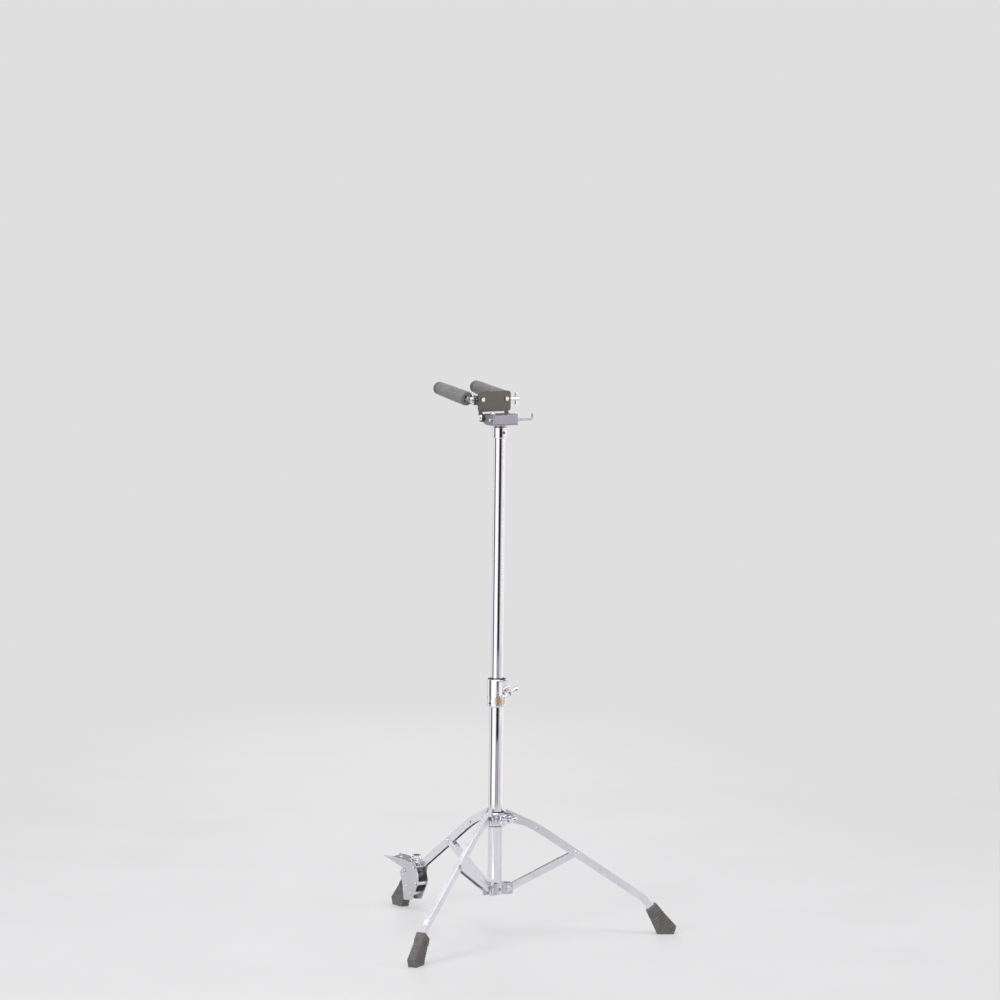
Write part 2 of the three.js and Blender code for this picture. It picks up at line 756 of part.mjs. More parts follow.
function blockOutline() {
  const { backReach, top, bottom, edge, lip, lipHeight, noseRadius } = block;
  const { front, height } = tiltPivot;
  const back = -backReach;
  const shape = new THREE.Shape();
  shape.moveTo(back + edge, top);
  shape.quadraticCurveTo(back, top, back, top - edge);
  shape.lineTo(back, bottom + lipHeight);
  shape.lineTo(back - lip, bottom + lipHeight - lip / 2);
  shape.lineTo(back - lip, bottom);
  shape.lineTo(front - 2 * noseRadius, bottom);
  shape.quadraticCurveTo(front - noseRadius, bottom, front, height - noseRadius);
  shape.absarc(front, height, noseRadius, -quarterTurn, quarterTurn, false);
  shape.closePath();
  return shape;
}

function headBlock() {
  const { halfWidth, edge } = block;
  const settings = { depth: 2 * (halfWidth - edge), bevelEnabled: true, curveSegments: cornerSteps };
  const bevelSize = edge / 2;
  const bevel = { bevelSize, bevelThickness: edge, bevelOffset: -bevelSize, bevelSegments: flatSteps };
  const body = new THREE.ExtrudeGeometry(blockOutline(), { ...settings, ...bevel });
  body.translate(0, 0, edge - halfWidth).rotateX(quarterTurn);
  const stem = rod(spigot.radius, spigot.bottom, block.bottom + edge, roundSides);
  const far = halfWidth + cutOverrun;
  const tiltHole = across(rod(tiltBolt.radius + gap, -far, far), tiltPivot.front, tiltPivot.height);
  const topHole = rod(topScrew.radius + gap, block.top - topScrew.depth, block.top + cutOverrun);
  topHole.translate(-topScrew.back, halfWidth - topScrew.inset, 0);
  const hookHole = across(rod(hook.radius + gap, -far, hook.root - halfWidth), -hook.back, hookHeight);
  return cut(join(body, stem), tiltHole, topHole, hookHole);
}

function blockTopBolt() {
  const seat = block.top + gap;
  const shank = rod(topScrew.radius, block.top - topScrew.depth + gap, seat + topScrew.headHeight / 2);
  const cap = dome(topScrew.headRadius, topScrew.headHeight).translate(0, 0, seat);
  return join(shank, cap).translate(-topScrew.back, block.halfWidth - topScrew.inset, 0);
}

// L-shaped rod that leaves the block's -Y side, with a turned collar at its root
function accessoryHook() {
  const face = -block.halfWidth;
  const front = -hook.back;
  const tipSide = face - hook.reach;
  const start = new THREE.Vector3(front, face + hook.root - gap, hookHeight);
  const bendStart = new THREE.Vector3(front, tipSide + hook.bend, hookHeight);
  const corner = new THREE.Vector3(front, tipSide, hookHeight);
  const bendEnd = new THREE.Vector3(front, tipSide, hookHeight + hook.bend);
  const tip = new THREE.Vector3(front, tipSide, hookHeight + hook.tipRise);
  const bendPoints = new THREE.QuadraticBezierCurve3(bendStart, corner, bendEnd).getPoints(2 * cornerSteps);
  const path = new THREE.CurvePath();
  const stops = [start, ...bendPoints, tip];
  stops.slice(1).forEach((point, i) => path.add(new THREE.LineCurve3(stops[i], point)));
  const section = new THREE.Shape().absarc(0, 0, hook.radius, 0, 2 * halfTurn, false);
  const steps = roundSides / 2;
  const settings = { steps, extrudePath: path, curveSegments: smallSides / 3 };
  const wire = new THREE.ExtrudeGeometry(section, settings);
  const root = rod(hookCollar.radius, face - gap - hookCollar.length, face - gap);
  return join(wire, across(root, front, hookHeight));
}

// Outer face of the yoke's lugs, where the tilt bolt's head and nut sit
function tiltSeat() {
  return block.halfWidth + gap + yokeLug.wall + gap;
}

function tiltBoltForm() {
  const seat = tiltSeat();
  const end = seat + tiltNut.hubLength + tiltNut.wingLength + gap;
  const shank = rod(tiltBolt.radius, -end, seat + tiltBolt.headHeight / 2);
  const cap = dome(tiltBolt.headRadius, tiltBolt.headHeight).translate(0, 0, seat);
  return across(join(shank, cap), tiltPivot.front, tiltPivot.height);
}

// Wing nut along +Z with a through bore
function wingNut(wings, { bore, hubRadius, start, wingStart, end }) {
  const hubForm = turned([
    [bore, start],
    [hubRadius + castEdge, start],
    [hubRadius + castEdge, start + castEdge],
    [hubRadius, start + 2 * castEdge],
    [hubRadius, end - castEdge],
    [hubRadius - castEdge, end],
    [bore, end],
  ], smallSides);
  const plate = wingPlate(wings, (wingStart + end) / 2);
  const boreTool = rod(bore, start - cutOverrun, end + cutOverrun);
  return cut(join(hubForm, plate), boreTool);
}

function tiltWingNut() {
  const start = tiltSeat();
  const wingStart = start + tiltNut.hubLength;
  const wings = { ...wing, span: tiltNut.span, tip: tiltNut.tip };
  const nut = wingNut(wings, {
    bore: tiltBolt.radius + gap,
    hubRadius: tiltNut.hubRadius,
    start,
    wingStart,
    end: wingStart + tiltNut.wingLength,
  });
  return across(nut.rotateX(halfTurn).rotateZ(radians(wingTilt.clamp)), tiltPivot.front, tiltPivot.height);
}

// Yoke and arms

function yokeBracket() {
  const { halfWidth, back, wall, bottom, top, corner } = yoke;
  const plateFace = roundedOutline([
    [-halfWidth, bottom],
    [halfWidth, bottom],
    [halfWidth, top],
    [-halfWidth, top],
  ], corner);
  const plate = upright(plateFace, -back - wall, -back).rotateZ(quarterTurn);
  const tongueFace = new THREE.Shape();
  tongueFace.moveTo(back, armPivot.height + yokeTongue.radius);
  tongueFace.lineTo(back, armPivot.height - yokeTongue.radius);
  tongueFace.absarc(armPivot.front, armPivot.height, yokeTongue.radius, -quarterTurn, quarterTurn, false);
  const lugTop = bottom + yokeLug.neck;
  const lugFace = new THREE.Shape();
  lugFace.moveTo(back + wall / 2, lugTop);
  lugFace.lineTo(back, bottom);
  lugFace.absarc(tiltPivot.front, tiltPivot.height, yokeLug.radius, halfTurn, 2 * halfTurn, false);
  lugFace.lineTo(tiltPivot.front + yokeLug.radius, bottom);
  lugFace.lineTo(back + wall + yokeLug.neck / 2, lugTop);
  const lugInner = block.halfWidth + gap;
  const tongueHole = rod(armBolt.radius + gap, -halfWidth - cutOverrun, halfWidth + cutOverrun);
  const sides = [-1, 1].flatMap((sign) => {
    const tongueSides = [sign * (halfWidth - wall), sign * halfWidth].sort((a, b) => a - b);
    const lugSides = [sign * lugInner, sign * (lugInner + yokeLug.wall)].sort((a, b) => a - b);
    return [upright(tongueFace, ...tongueSides), upright(lugFace, ...lugSides)];
  });
  const tiltHole = rod(tiltBolt.radius + gap, -halfWidth, halfWidth);
  const heads = [-1, 1].flatMap((sign) => [yokeRivetHead(sign), stopPinHead(sign)]);
  return cut(join(plate, ...sides, ...heads),
    across(tongueHole, armPivot.front, armPivot.height),
    across(tiltHole, tiltPivot.front, tiltPivot.height));
}

function yokeRivetHead(sign) {
  const { inset, rise, headRadius, headHeight } = yokeRivet;
  const cap = dome(headRadius, headHeight + gap).translate(0, 0, -yoke.back - gap);
  return cap.rotateY(-quarterTurn).translate(0, sign * (yoke.halfWidth - inset), yoke.bottom + rise);
}

function stopPinHead(sign) {
  const cap = dome(stopPin.headRadius, stopPin.headHeight + gap).translate(0, 0, yoke.halfWidth - gap);
  if (sign < 0) cap.rotateX(halfTurn);
  return across(cap, yoke.back + stopPin.past, armPivot.height);
}

// Everything on an arm is built from the arm's pivot along local +X, then pitched and set at its side
function onArm(geometry, sign) {
  geometry.rotateY(-radians(arm.pitch));
  return geometry.translate(armPivot.front, sign * arm.side, armPivot.height);
}

function alongArm(geometry) {
  return geometry.rotateY(quarterTurn);
}

function armCore(sign) {
  const faceFar = armSeat.outer - gap - arm.side;
  const faceNear = faceFar - arm.wall;
  const tongue = new THREE.Shape();
  tongue.moveTo(0, arm.eyeRadius);
  tongue.absarc(0, 0, arm.eyeRadius, quarterTurn, 3 * quarterTurn, false);
  tongue.lineTo(arm.rodStart, -arm.rodRadius);
  tongue.lineTo(arm.rodStart + arm.rodRadius, -arm.rodRadius);
  tongue.lineTo(arm.rodStart + arm.rodRadius, arm.rodRadius);
  tongue.lineTo(arm.rodStart, arm.rodRadius);
  const sides = sign > 0 ? [faceNear, faceFar] : [-faceFar, -faceNear];
  const core = alongArm(rod(arm.rodRadius, arm.rodStart, arm.rodEnd));
  const hole = rod(armBolt.radius + gap, -arm.side, arm.side).rotateX(quarterTurn);
  return onArm(cut(join(core, upright(tongue, ...sides)), hole), sign);
}

function armSleeve(sign) {
  const bore = arm.rodRadius + gap;
  const { start, end, rootRadius, tipRadius, edge } = sleeve;
  const roundShare = 0.3;
  const form = turned([
    [bore, start],
    [rootRadius - edge, start],
    [rootRadius - edge * roundShare, start + edge * roundShare],
    [rootRadius, start + edge],
    [tipRadius, end - edge],
    [tipRadius - edge * roundShare, end - edge * roundShare],
    [tipRadius - edge, end],
    [bore, end],
  ]);
  const tongueHalf = arm.rodRadius + gap;
  const tongueEnd = arm.rodStart + arm.rodRadius + gap;
  const slot = box(start - cutOverrun, tongueEnd, -tongueHalf, tongueHalf, -tongueHalf, tongueHalf);
  return onArm(cut(alongArm(form), slot), sign);
}

function armEndCap(sign) {
  const bore = arm.rodRadius + gap;
  const base = sleeve.end + gap;
  const { radius, flange, domeLength, room } = armCap;
  const socketEnd = arm.rodEnd + room;
  const tip = base + flange + domeLength;
  const midShare = 0.78;
  const highShare = 0.62;
  const form = turned([
    [bore, base],
    [radius, base],
    [radius, base + flange],
    [radius * midShare, base + flange + domeLength * highShare],
    [0, tip],
    [0, socketEnd],
    [bore, socketEnd],
  ]);
  return onArm(alongArm(form), sign);
}

// Stations of an arm's nut across the head, towards the left: its seat, the start of its wings and its end
function armNutStations(sign) {
  const start = sign > 0 ? -armSeat.inner : armSeat.outer;
  const wingStart = sleeve.rootRadius - sign * arm.side + armNut.sleeveGap;
  return { start, wingStart, end: wingStart + armNut.wingLength };
}

// Arm bolts lie across the head with their domed heads towards local +Y
function armBoltForm(sign) {
  const headSide = sign > 0 ? armSeat.outer : -armSeat.inner;
  const shank = rod(armBolt.radius, -armNutStations(sign).end - gap, headSide + armBolt.headHeight / 2);
  const cap = dome(armBolt.headRadius, armBolt.headHeight).translate(0, 0, headSide);
  return across(join(shank, cap), armPivot.front, armPivot.height);
}

function armWingNut(sign) {
  const nut = wingNut({ ...armNut, corner: armNut.root / 2 }, {
    bore: armBolt.radius + gap,
    hubRadius: armNut.hubRadius,
    ...armNutStations(sign),
  });
  return across(nut.rotateX(halfTurn).rotateZ(quarterTurn), armPivot.front, armPivot.height);
}

// Legs, braces and feet, all in a leg's own plane

// Height of the straight part's centre line at a distance from the mast's axis
function legHeight(distance) {
  return legKnee.height + (distance - legKnee.radius) * legSlope;
}

// Height of the straight part's top face
function legTopHeight(distance) {
  return legHeight(distance) + (leg.depth / 2) * Math.hypot(1, legSlope);
}

// Centre line from the collar's ear over the crank and the knee into the boot
function legLine() {
  const inner = [legPivot.radius - legEar.inset, legPivot.height + legEar.rise];
  const crank = [legCrank.radius, legHeight(legCrank.radius)];
  const knee = [legKnee.radius, legKnee.height];
  const tip = [legTip.radius, legTip.height];
  return bentLine([inner, crank, knee, tip], [leg.crankBend, leg.kneeBend]);
}

function channelLeg() {
  const centre = legLine();
  const halfDepth = leg.depth / 2;
  const topLine = offsetLine(centre, -halfDepth);
  const lowLine = offsetLine(centre, halfDepth);
  const half = leg.width / 2;
  const earReach = legPivot.radius + leg.earRadius;
  const shape = new THREE.Shape(topLine);
  lowLine.filter((point) => point.x > earReach).reverse().forEach((point) => shape.lineTo(point.x, point.y));
  shape.absarc(legPivot.radius, legPivot.height, leg.earRadius, -quarterTurn, -halfTurn, true);
  const wallLine = runOn(offsetLine(centre, leg.wall - halfDepth), cutOverrun);
  const farLine = runOn(offsetLine(centre, halfDepth + leg.earRadius), cutOverrun);
  const channel = new THREE.Shape([...wallLine, ...farLine.reverse()]);
  const innerHalf = half - leg.wall;
  const holeHeight = legHeight(legCrank.radius) - legHole.drop;
  const holeRod = rod(legHole.radius, -half - cutOverrun, half + cutOverrun);
  const windowHole = across(holeRod, legCrank.radius, holeHeight);
  const braceHole = pivotHole(braceJoint, leg.width);
  const body = cut(upright(shape, -half, half), upright(channel, -innerHalf, innerHalf));
  const mastRoom = rod(collar.radius + legEar.mastGap, collar.bottom, collar.top + 2 * leg.depth, roundSides);
  return cut(body, mastRoom, pivotHole(legPivot, leg.width), braceHole, windowHole);
}

// The front leg also has holes for the endpin rest's upper rivet and its stud
function frontLeg() {
  const half = leg.width / 2 + cutOverrun;
  const rivetHole = across(rod(restRivet.radius + gap, -half, half), restReach, legHeight(restReach));
  const seat = legTopHeight(stud.front);
  const studHole = rod(stud.radius + gap, seat - leg.depth / 2 - stud.headHeight, seat + leg.depth / 2);
  return cut(channelLeg(), rivetHole, studHole.translate(stud.front, 0, 0));
}

function channelBrace() {
  const run = new THREE.Vector2(braceJoint.radius - bracePivot.radius, braceJoint.height - bracePivot.height);
  const length = run.length();
  const half = brace.width / 2;
  const { depth, wall, hubSlot, legSlot } = brace;
  const endRadius = depth / 2;
  const face = new THREE.Shape();
  face.absarc(0, 0, endRadius, quarterTurn, 3 * quarterTurn, false);
  face.absarc(length, 0, endRadius, -quarterTurn, quarterTurn, false);
  const innerHalf = half - wall;
  const far = length + depth;
  const under = box(-far, far, -innerHalf, innerHalf, -depth, endRadius - wall);
  const hubEnd = box(-far, hubSlot, -innerHalf, innerHalf, -depth, depth);
  const legEnd = box(length - legSlot, far, -innerHalf, innerHalf, -depth, depth);
  const holes = [0, length].map((distance) => (
    across(rod(rivet.radius + gap, -half - cutOverrun, half + cutOverrun), distance, 0)
  ));
  const body = cut(upright(face, -half, half), under, hubEnd, legEnd, ...holes);
  return body.rotateY(-run.angle()).translate(bracePivot.radius, 0, bracePivot.height);
}

// Side view of a boot: the mouth's two corners, then the sole and the toe
function footCorners() {
  const along = new THREE.Vector2(legTip.reach, -legTip.drop).normalize();
  const across = new THREE.Vector2(-along.y, along.x).multiplyScalar(leg.depth / 2 + foot.wall);
  const mouth = new THREE.Vector2(legTip.radius, legTip.height).addScaledVector(along, -foot.sleeve);
  const soleStart = legTip.radius + foot.soleStart;
  return {
    mouthInner: mouth.clone().sub(across),
    mouthOuter: mouth.clone().add(across),
    soleInner: new THREE.Vector2(soleStart, 0),
    soleOuter: new THREE.Vector2(soleStart + foot.soleLength, 0),
    toe: new THREE.Vector2(foot.toe, foot.toeHeight),
  };
}

// Raised band round the boot, parallel to its mouth
function footRib(index) {
  const { mouthInner, mouthOuter, soleInner, toe } = footCorners();
  const { ribPitch, ribWidth, ribProud } = footShell;
  const start = ribPitch * (index + 1) - ribWidth;
  const line = (distance) => {
    const inner = soleInner.clone().sub(mouthInner).setLength(distance).add(mouthInner);
    const outer = toe.clone().sub(mouthOuter).setLength(distance).add(mouthOuter);
    const proud = outer.clone().sub(inner).setLength(ribProud);
    return [inner.sub(proud), outer.add(proud)];
  };
  const [lowInner, lowOuter] = line(start);
  const [highInner, highOuter] = line(start + ribWidth);
  const half = foot.halfWidth + ribProud;
  return upright(new THREE.Shape([lowInner, highInner, highOuter, lowOuter]), -half, half);
}

function rubberFoot() {
  const { mouthInner, mouthOuter, soleInner, soleOuter, toe } = footCorners();
  const { edge, fit, ribs } = footShell;
  const face = new THREE.Shape([mouthInner, soleInner, soleOuter, toe, mouthOuter]);
  const settings = { depth: 2 * (foot.halfWidth - edge), bevelEnabled: true };
  const bevel = { bevelSize: edge, bevelThickness: edge, bevelOffset: -edge, bevelSegments: flatSteps };
  const body = new THREE.ExtrudeGeometry(face, { ...settings, ...bevel });
  body.translate(0, 0, edge - foot.halfWidth).rotateX(quarterTurn);
  const bands = Array.from({ length: ribs }, (_, index) => footRib(index));
  const above = runOn(offsetLine(legLine(), -leg.depth / 2 - fit), fit);
  const under = runOn(offsetLine(legLine(), leg.depth / 2 + fit), fit);
  const pocketHalf = leg.width / 2 + fit;
  const pocket = upright(new THREE.Shape([...above, ...under.reverse()]), -pocketHalf, pocketHalf);
  return cut(join(body, ...bands), pocket);
}

// Endpin rest

// Leans everything above the fold outwards
function flareOut(geometry, fold, slope) {
  const place = geometry.attributes.position;
  for (let i = 0; i < place.count; i += 1) {
    const rise = Math.max(place.getZ(i) - fold, 0);
    place.setY(i, place.getY(i) + rise * slope);
  }
  return geometry;
}

// Place on a side plate, given as shares
function onPlate([lengthShare, dropShare]) {
  const distance = restReach - restPlate.back + lengthShare * restPlate.length;
  return [distance, restFold - dropShare * restPlate.height];
}

function restSidePlate() {
  const { inner, wall, corner } = restPlate;
  const outer = inner + wall;
  const bodyOutline = restBodyShares.map(onPlate);
  const [foldStart] = bodyOutline[0];
  const [foldEnd] = bodyOutline[bodyOutline.length - 1];
  const { top, tipHeight } = restWing;
  const wingOutline = outline([
    [foldStart, restFold],
    [foldEnd, restFold],
    [tray.outer, top - tipHeight],
    [tray.outer, top],
    [foldStart, top],
  ]);
  const body = upright(roundedOutline(bodyOutline, corner), inner, outer);
  const flared = flareOut(upright(wingOutline, inner, outer), restFold, restFlareShare);
  const bridge = box(foldStart + corner, foldEnd - corner, inner, outer, restFold - gap, restFold + gap);
  const places = restRivetPlaces();
  const [upperReach, upperHeight] = places.upper;
  const heads = restShortRivets.map(({ past, drop }) => {
    const cap = dome(restRivet.headRadius, restRivet.headHeight + gap).translate(0, 0, outer - gap);
    return across(cap, upperReach + past, upperHeight - drop);
  });
  const holes = Object.values(places).map((place) => (
    across(rod(restRivet.radius + gap, 0, 2 * outer), ...place)
  ));
  return cut(join(body, flared, bridge, ...heads), trayRoom(foldStart), ...holes);
}

// Places of the rivets that hold the two plates together; the upper one lies on the leg past its knee
function restRivetPlaces() {
  const endSlope = legTip.drop / legTip.reach;
  const standoff = leg.depth / 2 + restUpperRivet.legGap + restRivet.barrelRadius;
  const drop = endSlope * restUpperRivet.kneePast;
  const upperHeight = legKnee.height - drop + standoff * Math.hypot(1, endSlope);
  return {
    leg: [restReach, legHeight(restReach)],
    upper: [legKnee.radius + restUpperRivet.kneePast, upperHeight],
    back: onPlate(restBarrelShares.back),
    lower: onPlate(restBarrelShares.lower),
  };
}

// Rivet with a thick middle that keeps the plates apart
function barrelRivet([distance, height]) {
  const half = restPlate.inner - gap;
  const barrel = across(rod(restRivet.barrelRadius, -half, half), distance, height);
  return join(throughRivet([distance, height]), barrel);
}

// Shank from head to head; the head on the flared wing stands further out
function throughRivet([distance, height]) {
  const { radius, headRadius, headHeight } = restRivet;
  const { inner, wall } = restPlate;
  const rise = height + headRadius - restFold;
  const seat = inner + wall + Math.max(rise, 0) * restFlareShare + gap;
  const farHead = dome(headRadius, headHeight).rotateX(halfTurn).translate(0, 0, -seat);
  const nearHead = dome(headRadius, headHeight).translate(0, 0, seat);
  return across(join(rod(radius, -seat, seat), nearHead, farHead), distance, height);
}

// Mirror image across the leg's middle plane, with its faces turned back outwards
function mirrored(geometry) {
  const flipped = geometry.clone().scale(1, -1, 1);
  const place = flipped.attributes.position.array;
  for (let i = 0; i < place.length; i += 9) {
    for (let k = 0; k < 3; k += 1) {
      [place[i + 3 + k], place[i + 6 + k]] = [place[i + 6 + k], place[i + 3 + k]];
    }
  }
  flipped.computeVertexNormals();
  return flipped;
}

// Height of the tray's upper face at a distance from its middle plane
function trayHeight(side) {
  const { rim, floor, halfWidth, grooveHalf, wall } = tray;
  const share = Math.max(Math.abs(side) - grooveHalf, 0) / (halfWidth - grooveHalf);
  return floor + wall + share * (rim - floor - wall);
}

function traySlope() {
  return Math.atan2(tray.rim - tray.floor - tray.wall, tray.halfWidth - tray.grooveHalf);
}

function trayRivetPlaces() {
  return trayRivetShares.map(([alongShare, sideShare]) => {
    const along = tray.inner + alongShare * (tray.outer - tray.inner);
    const side = sideShare * tray.halfWidth;
    return { along, side };
  });
}

function onTray(geometry, { along, side }) {
  const turn = Math.abs(side) > tray.grooveHalf ? Math.sign(side) * traySlope() : 0;
  return geometry.rotateX(turn).translate(along, side, trayHeight(side));
}

// Section of the tray, drawn across the leg, with its underside lowered by a clearance
function traySection(clearance, rise) {
  const { halfWidth, rim, floor, grooveHalf, wall } = tray;
  return outline([
    [-halfWidth - clearance, rim - wall - clearance],
    [-grooveHalf, floor - clearance],
    [grooveHalf, floor - clearance],
    [halfWidth + clearance, rim - wall - clearance],
    [halfWidth + clearance, rim + rise],
    [grooveHalf, floor + wall + rise],
    [-grooveHalf, floor + wall + rise],
    [-halfWidth - clearance, rim + rise],
  ]);
}

function alongLeg(section, start, end) {
  return slab(section, start, end).rotateX(quarterTurn).rotateZ(quarterTurn);
}

// Space that the side plates leave for the tray
function trayRoom(start) {
  return alongLeg(traySection(gap, cutOverrun), start - cutOverrun, tray.outer + cutOverrun);
}

function trayRivetHead({ along, side }) {
  const cap = dome(trayRivet.headRadius, trayRivet.headHeight + gap).translate(0, 0, -gap);
  return onTray(cap, { along, side });
}

function endpinTray() {
  const { inner, outer, halfWidth, rim, floor, nose } = tray;
  const trough = alongLeg(traySection(0, 0), inner, outer);
  const edge = halfWidth + cutOverrun;
  const plan = new THREE.Shape();
  plan.moveTo(outer - nose, -edge);
  plan.lineTo(outer + cutOverrun, -edge);
  plan.lineTo(outer + cutOverrun, edge);
  plan.lineTo(outer - nose, edge);
  plan.lineTo(outer - nose, halfWidth);
  plan.quadraticCurveTo(outer, halfWidth, outer, 0);
  plan.quadraticCurveTo(outer, -halfWidth, outer - nose, -halfWidth);
  const trim = slab(plan, floor - cutOverrun, rim + cutOverrun);
  return join(cut(trough, trim), ...trayRivetPlaces().map(trayRivetHead));
}

function endpinPad() {
  const half = tray.grooveHalf - pad.sideGap;
  const base = tray.floor + tray.wall + gap;
  const inner = tray.inner + pad.startGap;
  const outer = inner + pad.length;
  const plan = roundedOutline([[inner, -half], [outer, -half], [outer, half], [inner, half]], half);
  return slab(plan, base, base + pad.height);
}

// Stud with a flat head that lies inside the leg's channel
function restStud() {
  const low = legTopHeight(stud.front) - leg.depth / 2;
  const halfLength = stud.headLength / 2;
  const halfWidth = leg.width / 2 - leg.wall - gap;
  const base = box(-halfLength, halfLength, -halfWidth, halfWidth, low - stud.headHeight, low);
  const shank = rod(stud.radius, low - stud.headHeight / 2, restKnob.bottom + stud.grip);
  return join(base, shank).translate(stud.front, 0, 0);
}

// Fluted disc with a bore
function flutedDisc({ radius, bottom, height, flutes, fluteRadius }, edge) {
  const bore = stud.radius + gap;
  const top = bottom + height;
  const form = turned([
    [bore, bottom],
    [radius - edge, bottom],
    [radius, bottom + edge],
    [radius, top - edge],
    [radius - edge, top],
    [bore, top],
  ]);
  const fluteTools = Array.from({ length: flutes }, (_, i) => {
    const tool = rod(fluteRadius, bottom - cutOverrun, top + cutOverrun);
    return tool.translate(radius + fluteRadius / 2, 0, 0).rotateZ((i / flutes) * 2 * halfTurn);
  });
  return cut(form, ...fluteTools).translate(stud.front, 0, 0);
}

function lockLeverForm() {
  const { bottom, height, eyeRadius, eyeHole, rootRadius, eyeBack, neck, legGap } = lockLever;
  const top = bottom + height;
  const eyeSide = leg.width / 2 + legGap + eyeRadius;
  const reach = Math.hypot(eyeBack, eyeSide);
  const root = rod(rootRadius, bottom, top, 2 * smallSides);
  const eye = rod(eyeRadius, bottom, top, 2 * smallSides).translate(reach, 0, 0);
  const strap = box(0, reach, -neck / 2, neck / 2, bottom, top);
  const studHole = rod(stud.radius + gap, bottom - cutOverrun, top + cutOverrun);
  const hole = rod(eyeHole, bottom - cutOverrun, top + cutOverrun, 2 * smallSides).translate(reach, 0, 0);
  const lever = cut(join(root, eye, strap), studHole, hole);
  return lever.rotateZ(halfTurn + Math.atan2(eyeSide, eyeBack)).translate(stud.front, 0, 0);
}

// Assembly: mast and hub
part(mast, 'lower_tube', tube(lowerTube), chrome());
part(mast, 'mast_plug', endPlug(mastPlug, lowerTube), nylon());
part(mast, 'base_hub', baseHub(), chrome());

// Assembly: collar
part(mast, 'leg_collar', legCollar(), chrome());
part(mast, 'collar_bushing', collarBushing(), nylon());
part(backGroup, 'collar_wing_bolt', collarWingBolt(), chrome());

// Assembly: height clamp and upper tube
part(backGroup, 'height_clamp', heightClamp(), chrome());
part(mast, 'clamp_bushing', clampBushing(), nylon());
part(backGroup, 'clamp_wing_bolt', clampWingBolt(), chrome());
const clampScrewGroup = turnedGroup(clampScrew.direction);
part(clampScrewGroup, 'clamp_screw', clampSetScrew(), zincSteel());
part(mast, 'upper_tube', tube(upperTube), chrome());
part(mast, 'tube_guide', guideSleeve(), nylon());

// Assembly: head
part(mast, 'head_collar', headCollarRing(), chrome());
part(backGroup, 'head_collar_screw', headSetScrew(), darkSteel());
part(head, 'head_block', headBlock(), satinCasting());
part(head, 'block_top_bolt', blockTopBolt(), chrome());
part(head, 'accessory_hook', accessoryHook(), chrome());
part(head, 'tilt_bolt', tiltBoltForm(), chrome());
part(head, 'tilt_wing_nut', tiltWingNut(), chrome());

// Assembly: yoke and arms
part(head, 'yoke_bracket', yokeBracket(), satinCasting());
Object.entries({ right: 1, left: -1 }).forEach(([name, sign]) => {
  part(head, `arm_${name}`, armCore(sign), zincSteel());
  part(head, `sleeve_${name}`, armSleeve(sign), foam());
  part(head, `arm_cap_${name}`, armEndCap(sign), rubber());
  part(head, `arm_bolt_${name}`, armBoltForm(sign), chrome());
  part(head, `arm_wing_nut_${name}`, armWingNut(sign), chrome());
});

// Assembly: legs, braces and feet
legNames.forEach((name) => {
  const group = legGroups[name];
  part(group, `leg_${name}`, name === 'front' ? frontLeg() : channelLeg(), chrome());
  part(group, `brace_${name}`, channelBrace(), chrome());
  part(group, `hub_pin_${name}`, hubPin(), chrome());
  part(group, `collar_pin_${name}`, collarPin(), chrome());
  part(group, `brace_rivet_${name}`, pivotRivet(braceJoint, brace.width), chrome());
  part(group, `foot_${name}`, rubberFoot(), rubber());
});

// Assembly: endpin rest
const front = legGroups.front;
part(front, 'rest_plate_right', restSidePlate(), zincSteel());
part(front, 'rest_plate_left', mirrored(restSidePlate()), zincSteel());
Object.entries(restRivetPlaces()).forEach(([name, place]) => {
  part(front, `rest_rivet_${name}`, name === 'leg' ? throughRivet(place) : barrelRivet(place), zincSteel());
});
part(front, 'endpin_tray', endpinTray(), zincSteel());
part(front, 'endpin_pad', endpinPad(), rubber());
part(front, 'rest_stud', restStud(), chrome());
part(front, 'rest_nut', flutedDisc(restNut, restKnob.edge / 2), chrome());
part(front, 'lock_lever', lockLeverForm(), chrome());
part(front, 'rest_knob', flutedDisc(restKnob, restKnob.edge), chrome());

export default stand;
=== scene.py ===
import json
import math

import bmesh
import bpy
from mathutils import Matrix, Vector, noise


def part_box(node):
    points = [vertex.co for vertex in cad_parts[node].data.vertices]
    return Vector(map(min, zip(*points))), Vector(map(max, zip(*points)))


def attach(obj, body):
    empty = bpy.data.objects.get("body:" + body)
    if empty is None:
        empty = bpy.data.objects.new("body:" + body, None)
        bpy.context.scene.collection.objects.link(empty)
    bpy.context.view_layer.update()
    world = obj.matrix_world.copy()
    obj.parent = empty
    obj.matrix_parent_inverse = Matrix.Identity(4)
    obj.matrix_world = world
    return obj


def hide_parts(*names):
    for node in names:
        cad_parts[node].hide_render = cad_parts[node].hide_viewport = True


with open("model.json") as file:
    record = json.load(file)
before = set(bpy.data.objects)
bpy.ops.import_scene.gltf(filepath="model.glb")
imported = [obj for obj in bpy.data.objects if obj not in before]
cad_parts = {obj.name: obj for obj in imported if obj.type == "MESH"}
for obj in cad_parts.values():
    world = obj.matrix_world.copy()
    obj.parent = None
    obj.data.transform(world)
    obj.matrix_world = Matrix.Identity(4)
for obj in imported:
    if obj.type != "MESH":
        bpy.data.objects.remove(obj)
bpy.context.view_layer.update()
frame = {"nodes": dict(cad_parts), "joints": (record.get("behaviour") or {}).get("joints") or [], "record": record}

mm = 0.001
nodes = frame["nodes"]
bodies = frame["record"]["behaviour"]["bodies"]
legTurns = {"front": math.radians(-90), "right": math.radians(30), "left": math.radians(150)}
armSides = {"right": 1, "left": -1}
upward = Vector((0, 0, 1))
onAxis = 0.001 * mm  # a smaller radius is a point on the axis
shortest = 0.005 * mm  # a smaller rounding is left out


# Shader node groups, each made once and placed in the materials with its own values

